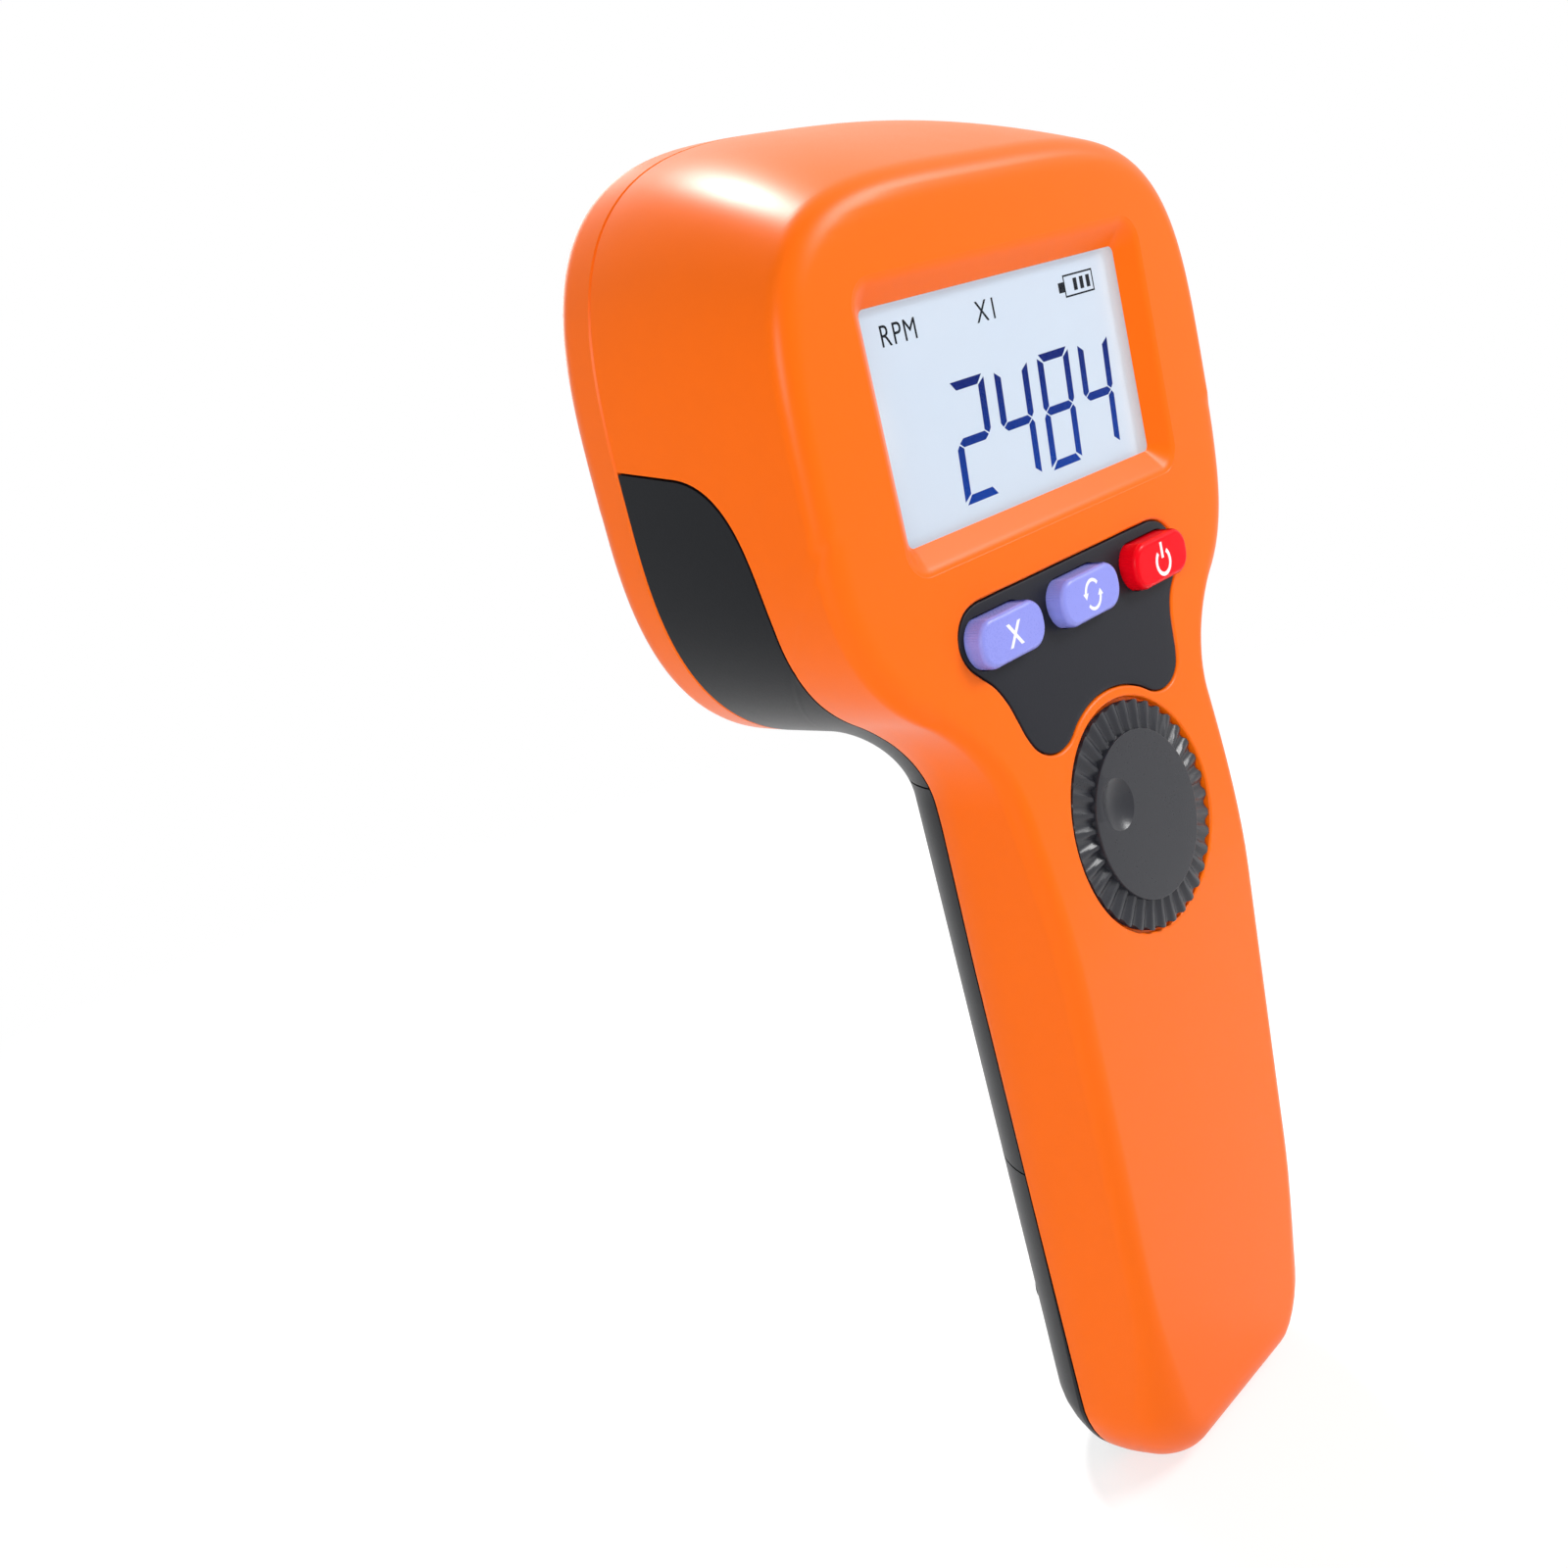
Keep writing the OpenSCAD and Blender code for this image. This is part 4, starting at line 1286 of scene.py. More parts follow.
    def outline(self, inset: float, count: int) -> Points:
        """Outline of the head at the bezel, stepped in from its side.

        Args:
            inset: Distance from the side.
            count: Number of points.

        Returns:
            Points across X and Z.
        """
        half, middle, top, low = self.head_sizes(self.bezel_y)
        t = np.arange(count) / count * math.tau
        c, s = np.cos(t), np.sin(t)
        p = np.where(s > 0, self.square(self.bezel_y), self.square_low)
        tall = np.where(s > 0, top - inset - middle, middle - low - inset)
        k = (np.abs(c) ** p + np.abs(s) ** p) ** (-1 / p)
        return np.stack([(half - inset) * k * c, middle + tall * k * s], axis=1)


@dataclass
class Shells:
    """Rear shell, front shell and battery door, cut from one wall."""

    form: CaseForm
    rays: int = 130
    inner_rays: int = 48
    foot_levels: Floats = (0, 0.08, 0.3, 0.7, 1.2, 1.9, 2.8, 3.9, 5.2, 6.8, 8.6, 10.6, 12.6)
    handle_levels: tuple[float, float, int] = (15.5, 3.0, 31)
    turns: tuple[Triple, ...] = ((0, 54, 1.0), (54, 84, 0.5), (84, 90.1, 1.0))
    inner_foot: Floats = (0, 0.5, 1.5, 3, 6, 10)
    inner_handle: tuple[float, float, int] = (20.0, 4.0, 12)
    inner_turns: tuple[Triple, ...] = ((0, 54, 3.0), (54, 90.1, 2.0))
    inner_over: float = 2.0
    seam_foot: float = 7.8
    seam_handle: float = 10.4
    seam_straight: Pair = (25.0, 6.0)
    seam_neck: Pairs = ((-0.6, 2.5), (-0.2, 4.0), (0.9, 9.0), (0.6, 13.5))
    seam_head: float = 12.5
    seam_turn: float = 19.5
    seam_bend: float = 10.5
    seam_bezel: float = 2.4
    seam_slope: float = 0.206
    seam_block: Triple = (80.0, 60.0, 20.0)
    door: Pair = (53.5, 113.0)
    door_block: Pair = (60.0, 90.0)
    display_half: Pair = (29.05, 14.9)
    recess_slope: float = 3.2
    recess_rim: float = 0.84
    recess_corner: Pair = (1.0, 3.4)
    recess_over: float = 0.6
    rim_r: float = 2.5
    pocket_half: Pair = (34.15, 21.15)
    pocket_y: Pair = (-6.6, -0.6)
    panel_depth: float = 1.2
    panel_gap: float = 0.15
    panel_rim: float = 0.42
    seat_r: float = 16.85
    seat_depth: float = 1.5
    seat_rim: float = 0.36
    seat_sides: int = 96
    above: float = 0.8
    over: float = 0.15
    hub_r: float = 4.9
    hub_ends: Pair = (-5.0, 15.0)
    bush_r: float = 4.45
    bush_l: float = 10.05
    foot_screw: Pair = (15.0, 27.5)
    head_screw: Pair = (29.6, 128.9)
    standoffs: Pairs = ((26.0, 185.7), (32.4, 135.5))
    standoff_y: float = -0.65
    boss_r: float = 3.0
    boss_sunk: float = 0.2
    boss_sides: int = 32
    head_boss: Pair = (1.4, 13.7)
    foot_boss: float = 7.5
    foot_boss_r: float = 3.5
    tower_r: float = 4.0
    tower_start: float = 8.4
    tower_sunk: float = 2.2
    bores: Pairs = ((3.0, 6.0), (1.6, -9.0))
    bore_end: float = 46.0
    rail: Pair = (20.9, 23.1)
    rail_start: float = 3.4
    rail_d: float = 2.85
    rail_h: float = 2.0
    bulkhead_half: float = 16.0
    bulkhead_sunk: float = 0.3

    def stations(
        self,
        foot: Sequence[float],
        handle: tuple[float, float, int],
        turns: Sequence[Triple],
    ) -> list[Station]:
        """Sections up the handle and around the bend into the head.

        Args:
            foot: Heights of the sections in the foot.
            handle: First height above the foot, room left under the bend, and number of sections.
            turns: Runs of angles around the bend: first, end and step.

        Returns:
            The sections in order.
        """
        f = self.form
        start, room, count = handle
        levels = [*foot, *np.linspace(start, f.pivot_z - room, count)]
        angles = [angle for run in turns for angle in np.arange(*run)]
        return [f.level_station(z) for z in levels] + [f.fan_station(angle) for angle in angles]

    def case_wall(self) -> Piece:
        """Closed wall of the whole case, before it is parted.

        Returns:
            The wall.
        """
        f = self.form
        places = self.stations(self.foot_levels, self.handle_levels, self.turns)
        outer = Bench.loft("case_outer", np.array([f.ring(p, 0, self.rays) for p in places]))
        inner_foot = [f.wall + z for z in self.inner_foot]
        places = self.stations(inner_foot, self.inner_handle, self.inner_turns)
        places.append(f.upright_station(f.bezel_y + self.inner_over))
        inner = Bench.loft("case_inner", np.array([f.ring(p, f.wall, self.inner_rays) for p in places]))
        Bench.cut(outer, inner, Cut.AWAY)
        return outer

    def seam_side(self, gap: float) -> Piece:
        """Block in front of the seam.

        Args:
            gap: How far the block is moved forward.

        Returns:
            The block.
        """
        f = self.form
        half, ahead, below = self.seam_block
        flat, lead = self.seam_straight
        head = f.face_y + self.seam_head + gap
        handle = f.face_y + self.seam_handle + gap
        neck = f.display_z - f.low_rear
        top = f.display_z + self.seam_bezel - gap
        corner = top - self.seam_slope * (f.bezel_y - f.face_y - self.seam_head)
        shoulder = (head + self.seam_bend, corner + self.seam_slope * self.seam_bend)
        front = f.bezel_y + ahead
        entry, *swell = [(head + y, neck + z) for y, z in self.seam_neck]
        points = [
            (f.face_y + self.seam_foot + gap, -below),
            (handle, f.handle_level - flat),
            *bend((handle, f.handle_level - lead), (handle, f.handle_level), entry, 12),
            *bend(*swell, 12),
            *bend((head, f.display_z - self.seam_turn), (head, corner), shoulder, 24),
            (f.bezel_y + 1, top + self.seam_slope),
            (front, top + self.seam_slope),
            (front, -below),
        ]
        return Bench.prism("seam_side", np.array(points), Along.X, -half, 2 * half)

    def door_slab(self, gap: float) -> Piece:
        """Block across the handle between the door's ends, longer by a gap at each."""
        (low, high), (half, front) = self.door, self.door_block
        return Bench.box("door_slab", (-half, self.form.face_y, low - gap), (half, front, high + gap))

    def display_recess(self) -> Piece:
        """Cutter for the sloped opening around the display, with a soft rim.

        Returns:
            The cutter.
        """
        f = self.form
        reach = self.recess_slope + self.recess_rim
        levels = [(f.wall + 1, 0.0)]
        levels += [(f.wall * (1 - t), self.recess_slope * t) for t in (0.0, 0.25, 0.5, 0.75)]
        levels += [(drop, reach - out) for drop, out in rounding(self.rim_r, 37, 8, 8)]
        levels.append((-self.above, reach + self.recess_over))
        rings = []
        for depth, grow in levels:
            radius = self.recess_corner[0] + self.recess_corner[1] * min(1.0, grow / reach)
            flat = rounded_box(self.display_half[0] + grow, self.display_half[1] + grow, radius)
            rings.append([(x, f.face_y + depth, f.display_z + z) for x, z in flat])
        return Bench.loft("display_recess", np.array(rings))

    def panel_seat(self, outline: Callable[[float], Points]) -> Piece:
        """Cutter for the seat of the key panel, with a soft rim.

        Args:
            outline: Outline of the panel, grown by a distance.

        Returns:
            The cutter.
        """
        edge = self.panel_gap + self.panel_rim
        levels = [(self.panel_depth, self.panel_gap), (self.panel_rim, self.panel_gap)]
        levels += [(drop, edge - out) for drop, out in rounding(self.panel_rim, 70, 10, 5)]
        levels.append((-self.above, edge + self.over))
        rings = [self.form.on_rear(outline(grow), depth) for depth, grow in levels]
        return Bench.loft("panel_seat", np.array(rings))

    def knob_seat(self) -> Piece:
        """Cutter for the round seat of the knob, with a soft rim.

        Returns:
            The cutter.
        """
        f = self.form
        c, s = math.cos(f.knob_tilt), math.sin(f.knob_tilt)
        t = np.arange(self.seat_sides) / self.seat_sides * math.tau
        centre = np.array([0, float(f.rear(f.knob_z)), f.knob_z])

        def level(radius: float) -> Points:
            """Ring on the plane through the seat's centre."""
            up = radius * np.sin(t)
            return centre + np.stack([radius * np.cos(t), up * s, up * c], axis=1)

        edge = self.seat_r + self.seat_rim
        steps = [(drop, edge - out) for drop, out in rounding(self.seat_rim, 80, 10, 5)]
        rings = [level(self.seat_r) + np.array([0, c, -s]) * self.seat_depth]
        for depth, radius in [*steps, (-self.above, edge + self.over)]:
            ring = level(radius)
            ring[:, 1] = f.rear(ring[:, 2]) + depth
            rings.append(ring)
        return Bench.loft("knob_seat", np.array(rings))

    def hub_hole(self) -> Piece:
        """Cutter for the hole of the knob's hub, along the knob's axis.

        Returns:
            The cutter.
        """
        hub = Bench.rod("hub_hole", self.hub_r, 0, 0, self.hub_ends)
        Bench.set_on(hub, self.form.knob_frame @ facing((0, 0, 0)).inverted())
        return hub

    def bush_hole(self) -> Piece:
        """Cutter for the bore of the tripod bush."""
        return Bench.start(
            "bush_hole", Form.CYLINDER, vertices=64, radius=self.bush_r * MM,
            depth=(self.bush_l + 1) * MM, location=(0, 0, (self.bush_l - 1) / 2 * MM),
        )

    def build(self, keypad: "Keypad", orange: Material, black: Material) -> None:
        """Part the wall into its three pieces and finish each.

        Args:
            keypad: Panel and keys that the rear shell makes room for.
            orange: Finish of the rear shell.
            black: Finish of the front shell and the door.
        """
        wall = self.case_wall()
        front = Bench.copy(wall, "front_shell_looks")
        door = Bench.copy(wall, "battery_door_looks")
        self.finish_rear(wall, keypad)
        self.finish_front(front)
        Bench.cut(door, self.seam_side(self.form.seam / 2), Cut.KEEP)
        Bench.cut(door, self.door_slab(0.0), Cut.KEEP)
        install(wall, orange, "case", ["rear_shell"])
        install(front, black, "case", ["front_shell"])
        install(door, black, "battery_door", ["battery_door"])

    def finish_rear(self, shell: Piece, keypad: "Keypad") -> None:
        """Cut the rear shell's openings and add its bosses.

        Args:
            shell: Wall of the case.
            keypad: Panel and keys that it makes room for.
        """
        f = self.form
        shell.name = "rear_shell_looks"
        half_x, half_z = self.pocket_half
        low_y, high_y = self.pocket_y
        low, high = f.display_z - half_z, f.display_z + half_z
        pocket = Bench.box("pocket", (-half_x, low_y, low), (half_x, high_y, high))
        cutters = [self.seam_side(-f.seam / 2), self.display_recess(), pocket]
        cutters += [self.panel_seat(keypad.outline), self.knob_seat()]
        cutters += [keypad.key_hole(i) for i in (-1, 0, 1)]
        cutters += [self.hub_hole(), self.bush_hole()]
        for cutter in cutters:
            Bench.cut(shell, cutter, Cut.AWAY)
        Bench.join("rear_shell_looks", [shell, *self.bosses()])

    def bosses(self) -> list[Piece]:
        """Bosses of the rear shell for the boards and the case screws.

        Returns:
            The bosses, left side first.
        """
        f = self.form
        inner = f.face_y + f.wall - self.boss_sunk
        rods = [(spot, self.boss_r, inner, self.standoff_y) for spot in self.standoffs]
        start, end = self.head_boss
        wall = float(f.rear(self.head_screw[1])) + f.wall
        rods.append((self.head_screw, self.boss_r, wall + start, f.face_y + end))
        wall = float(f.rear(self.foot_screw[1])) + f.wall
        rods.append((self.foot_screw, self.foot_boss_r, wall - self.boss_sunk, f.face_y + self.foot_boss))
        return [
            Bench.rod("boss", radius, s * x, z, (start, end), self.boss_sides)
            for s in (-1, 1)
            for (x, z), radius, start, end in rods
        ]

    def finish_front(self, shell: Piece) -> None:
        """Cut the front shell's seam, door opening and screw bores, and add its rails.

        Args:
            shell: Wall of the case.
        """
        f = self.form
        Bench.cut(shell, self.seam_side(f.seam / 2), Cut.KEEP)
        Bench.cut(shell, self.door_slab(f.seam), Cut.AWAY)
        x, z = self.foot_screw
        tower = (f.face_y + self.tower_start, float(f.handle_face(z)) - self.tower_sunk)
        for s in (-1, 1):
            Bench.cut(shell, Bench.rod("tower", self.tower_r, s * x, z, tower), Cut.JOIN)
            for radius, start in self.bores:
                Bench.cut(shell, Bench.rod("bore", radius, s * x, z, (start, self.bore_end)), Cut.AWAY)
        Bench.cut(shell, self.bush_hole(), Cut.AWAY)
        Bench.join("front_shell_looks", [shell, *self.rails()])

    def rails(self) -> list[Piece]:
        """Frame around the door's opening: two rails, two bulkheads and two crossbars.

        Returns:
            The bars of the frame.
        """
        f = self.form
        low, high = self.door[0] - f.seam, self.door[1] + f.seam
        y = f.face_y + self.rail_start
        deep, thick, wide = y + self.rail_d, self.rail_h, self.rail[1]
        made = []
        for s in (-1, 1):
            left, right = sorted(s * x for x in self.rail)
            made.append(Bench.box("rail", (left, y, low - thick), (right, deep, high + thick)))
        half = self.bulkhead_half
        for level in (low - thick, high):
            end = float(f.handle_face(level)) - f.wall + self.bulkhead_sunk
            made.append(Bench.box("bulkhead", (-half, y, level), (half, end, level + thick)))
            made.append(Bench.box("crossbar", (-wide, y, level), (wide, deep, level + thick)))
        return made


@dataclass
class FrontBezel:
    """Orange ring around the lens."""

    form: CaseForm
    points: int = 224
    reach: float = 70.0
    side_steps: Floats = (0.25, 2.2, 4.2)
    lip_w: float = 9.0
    lip_r: float = 0.9
    lip_back: float = 0.004
    lens_w: float = 6.0
    lens_front: float = 30.5
    lens_back: float = 2.0
    spigot: Pair = (2.5, 0.9)
    spigot_l: float = 3.2
    rim: float = 0.25

    def outside(self, y: float) -> Points:
        """Ring on the bezel's outside at a depth.

        Args:
            y: Depth along the light.

        Returns:
            Points in order around the ring.
        """
        f = self.form
        t = np.arange(self.points) / self.points * math.tau
        d = np.stack([f.half_front * np.cos(t), 0 * t, f.fan_tall[1] * np.sin(t)], axis=1)
        d /= np.linalg.norm(d, axis=1)[:, None]
        return f.step_in(f.bezel, np.array([0, y, f.light_z]), d, np.full(self.points, self.reach))

    def inside(self, inset: float, y: float) -> Points:
        """Ring of the head's outline, stepped in, at a depth."""
        flat = self.form.outline(inset, self.points)
        return np.stack([flat[:, 0], np.full(self.points, y), flat[:, 1]], axis=1)

    def build(self, orange: Material) -> None:
        """Loft the ring around its section and install it.

        Args:
            orange: Finish of the ring.
        """
        f = self.form
        seam, front = f.bezel_y + f.seam, f.bezel_front
        back, end = f.bezel_y + self.lens_back, f.bezel_y - self.spigot_l
        inner, outer = [f.wall + w for w in self.spigot]
        rings = [self.outside(seam + step) for step in self.side_steps]
        rings += [self.outside(front - f.bezel_r + out) for _, out in rounding(f.bezel_r, 0, 86, 12)]
        for drop, out in rounding(self.lip_r, 0, 90, 6):
            rings.append(self.inside(self.lip_w - self.lip_r + out, front - drop - self.lip_back))
        section = [
            (self.lip_w, self.lens_front),
            (self.lens_w, self.lens_front),
            (self.lens_w, back),
            (inner, back),
            (inner, end),
            (outer, end),
            (outer, seam),
            (self.rim, seam),
        ]
        rings += [self.inside(inset, y) for inset, y in section]
        ring = Bench.loft("front_bezel_looks", np.array(rings), around=True)
        install(ring, orange, "case", ["front_bezel"])


@dataclass
class LightUnit:
    """Lens, reflector with its cups, and emitters."""

    form: CaseForm
    points: int = 160
    lens: Pair = (27.95, 2.5)
    lens_inset: float = 6.3
    lens_edge: float = 0.3
    reflector: Pair = (15.85, 11.4)
    reflector_inset: float = 8.0
    reflector_edge: float = 0.25
    columns: int = 4
    rows: int = 3
    pitch: Pair = (17.0, 16.5)
    cup_r: float = 7.8
    cup_sides: int = 64
    cup_steps: int = 14
    cup_over: float = 0.05
    throat_r: float = 3.2
    led_y: float = 15.75
    led_w: float = 3.5
    led_h: float = 1.5
    led_edge: float = 0.25
    dome_r: float = 1.5
    dome_flat: float = 0.5
    dome_level: float = 0.45
    dome_cut: float = 0.41
    base_share: float = 0.5

    def places(self) -> list[Pair]:
        """Places of the emitters across the light.

        Returns:
            X and Z of each.
        """
        across = [(i - (self.columns - 1) / 2) * self.pitch[0] for i in range(self.columns)]
        upward = [(j - (self.rows - 1) / 2) * self.pitch[1] for j in range(self.rows)]
        return [(x, self.form.light_z + z) for x in across for z in upward]

    def cup(self, x: float, z: float) -> Piece:
        """Cutter for one parabolic cup.

        Args:
            x: Place of its axis along X.
            z: Place of its axis along Z.

        Returns:
            The cutter.
        """
        start, depth = self.reflector
        t = np.arange(self.cup_sides) / self.cup_sides * math.tau
        rings = []
        for share in [-self.cup_over, *np.linspace(0, 1, self.cup_steps), 1 + self.cup_over]:
            radius = math.sqrt(mix(self.throat_r**2, self.cup_r**2, np.clip(share, 0, 1)))
            y = start + depth * share
            rings.append(np.stack([x + radius * np.cos(t), 0 * t + y, z + radius * np.sin(t)], axis=1))
        return Bench.loft("cup", np.array(rings))

    def emitter(self) -> Piece:
        """One emitter at the origin: a moulded base and a round dome.

        Returns:
            The emitter.
        """
        half = self.led_w / 2
        base = Bench.box("emitter", (-half, 0, -half), (half, self.led_h * self.base_share, half))
        Bench.bevel(base, self.led_edge, 2)
        dome = Bench.start(
            "dome", Form.SPHERE, segments=24, ring_count=12, radius=self.dome_r * MM,
            location=(0, self.led_h * self.dome_level * MM, 0), scale=(1, self.dome_flat, 1),
        )
        plane = (0, self.led_h * self.dome_cut * MM, 0)
        with Bench.edit(dome, whole=True):
            bpy.ops.mesh.bisect(plane_co=plane, plane_no=(0, -1, 0), use_fill=True, clear_outer=True)
        return Bench.join("emitter", [base, dome])

    def plate(self, name: str, inset: float, ends: Pair) -> Piece:
        """Flat plate of the head's outline, stepped in, by its rear plane and thickness."""
        return Bench.prism(name, self.form.outline(inset, self.points), Along.Y, *ends)

    def build(self, clear: Material, mirror: Material, phosphor: Material) -> None:
        """Make the three pieces and install them.

        Args:
            clear: Finish of the lens.
            mirror: Finish of the reflector.
            phosphor: Finish of the emitters.
        """
        reflector = self.plate("reflector_looks", self.reflector_inset, self.reflector)
        for x, z in self.places():
            Bench.cut(reflector, self.cup(x, z), Cut.AWAY)
        Bench.bevel(reflector, self.reflector_edge, 2)
        install(reflector, mirror, "case", ["reflector"])
        lens = self.plate("front_lens_looks", self.lens_inset, self.lens)
        Bench.bevel(lens, self.lens_edge, 3)
        install(lens, clear, "case", ["front_lens"])
        first = self.emitter()
        made = [Bench.copy(first, "emitter", (x, self.led_y, z)) for x, z in self.places()]
        bpy.data.objects.remove(first)
        install(Bench.join("led_emitters_looks", made), phosphor, "case", ["led_emitters"])


@dataclass
class Display:
    """Reading on the display: seven-segment figures and small marks on the glass."""

    form: CaseForm
    glass_y: float = -5.5
    film: float = 0.02
    digits: str = "2484"
    right_edges: Floats = (-6.14, 4.05, 14.32, 24.6)
    digit_w: float = 7.8
    rows: Triple = (3.18, -4.68, -12.64)
    stroke: Pair = (1.4, 1.15)
    gap: float = 0.16
    bar_end: float = 0.25
    side_ends: Pair = (0.3, 0.55)
    point: float = 0.5
    slant: float = 0.089
    segments: dict[str, str] = field(default_factory=lambda: {"2": "abged", "4": "fgbc", "8": "abcdefg"})
    notes: tuple[tuple[str, float, float, float], ...] = (("RPM", -24.7, 9.8, 2.7), ("X1", -4.4, 9.5, 2.8))
    capital: float = 0.69
    thin: float = 0.004
    spacing: float = 1.12
    squeeze: float = 0.98
    merge: float = 0.0005
    battery: tuple[float, float, float, float] = (17.0, 9.5, 24.5, 12.6)
    battery_line: float = 0.24
    battery_button: tuple[float, float, float, float] = (15.6, 10.3, 16.98, 11.7)
    battery_bars: Floats = (19.4, 21.05, 22.7)
    battery_bar: Triple = (0.9, 10.2, 11.9)

    @property
    def mark_y(self) -> float:
        """Depth of the marks' outer side, with half a film left free on the glass."""
        return self.glass_y - self.film * 1.5

    def segment(self, part: str, right: float) -> Points:
        """Outline of one segment of a figure.

        Args:
            part: Letter of the segment, a to g.
            right: Right outer edge of the figure at mid height.

        Returns:
            Points across the glass, from the display's centre.
        """
        w, h = self.stroke
        g = self.gap
        left = right - self.digit_w
        top, middle, low = self.rows
        if part in "ad":
            z, s = (top, -1) if part == "a" else (low, 1)
            end, deep = g + self.bar_end, z + s * h
            flat = [(left + end, z), (right - end, z), (right - w - g, deep), (left + w + g, deep)]
        elif part == "g":
            k, end = h / 2, w + g * 0.5
            tip = self.point + g
            flat = [(left + tip, middle), (left + end, middle + k), (right - end, middle + k)]
            flat += [(right - tip, middle), (right - end, middle - k), (left + end, middle - k)]
        else:
            edge, inward = (right, -1) if part in "bc" else (left, 1)
            end, s = (top, 1) if part in "bf" else (low, -1)
            outer, lower = self.side_ends
            flat = [
                (edge, end - s * (g + outer)),
                (edge, middle + s * (g + lower)),
                (edge + inward * self.point, middle + s * g),
                (edge + inward * w, middle + s * (h / 2 + g)),
                (edge + inward * w, end - s * (h + g)),
            ]
        return np.array([(x + self.slant * (z - middle), z) for x, z in flat])

    def flat_mark(self, outline: Points) -> Piece:
        """Thin mark on the glass from an outline about the display's centre."""
        return Bench.prism("mark", outline + (0, self.form.display_z), Along.Y, self.mark_y, self.film)

    def figures(self) -> Piece:
        """All segments of the reading as one piece.

        Returns:
            The piece.
        """
        made = []
        for digit, right in zip(self.digits, self.right_edges):
            for part in self.segments[digit]:
                made.append(self.flat_mark(self.segment(part, right)))
        return Bench.join("display_figures", made)

    def words(self, text: str, left: float, low: float, height: float) -> Piece:
        """Small generic mark in plain type.

        Args:
            text: Text of the mark.
            left: Left end, from the display's centre.
            low: Foot of the text, from the display's centre.
            height: Height of a capital.

        Returns:
            The mark as a mesh.
        """
        bpy.ops.object.select_all(action="DESELECT")
        bpy.ops.object.text_add()
        obj = bpy.context.object
        obj.data.body = text
        obj.data.size = height / self.capital * MM
        obj.data.offset = -self.thin * height * MM
        obj.data.space_character = self.spacing
        bpy.ops.object.convert(target="MESH")
        obj = bpy.context.object
        spot = facing((left, self.mark_y, self.form.display_z + low))
        Bench.set_on(obj, spot @ Matrix.Diagonal((self.squeeze, 1, 1, 1)))
        with Bench.edit(obj, whole=True):
            push = Vector((0, self.film * MM, 0))
            bpy.ops.mesh.extrude_region_move(TRANSFORM_OT_translate={"value": push})
        Bench.outward(obj, self.merge)
        return obj

    def battery_mark(self) -> list[Piece]:
        """Outline of a cell with three bars and a button.

        Returns:
            The mark's oblongs.
        """
        x0, z0, x1, z1 = self.battery
        t = self.battery_line
        wide, low, high = self.battery_bar
        oblongs = [(x0, z0, x1, z0 + t), (x0, z1 - t, x1, z1)]
        oblongs += [(x0, z0 + t, x0 + t, z1 - t), (x1 - t, z0 + t, x1, z1 - t)]
        oblongs.append(self.battery_button)
        oblongs += [(x, low, x + wide, high) for x in self.battery_bars]
        return [self.flat_mark(np.array([(a, b), (c, b), (c, d), (a, d)])) for a, b, c, d in oblongs]

    def build(self, figure_ink: Material, small_ink: Material) -> None:
        """Make the reading and the small marks and install them.

        Args:
            figure_ink: Tone of the figures.
            small_ink: Tone of the small marks.
        """
        install(self.figures(), figure_ink, "case")
        small = self.battery_mark() + [self.words(*note) for note in self.notes]
        install(Bench.join("display_marks", small), small_ink, "case")


class Sign(Enum):
    """Signs on the keys."""

    MULTIPLY = "multiply"
    CYCLE = "cycle"
    POWER = "power"


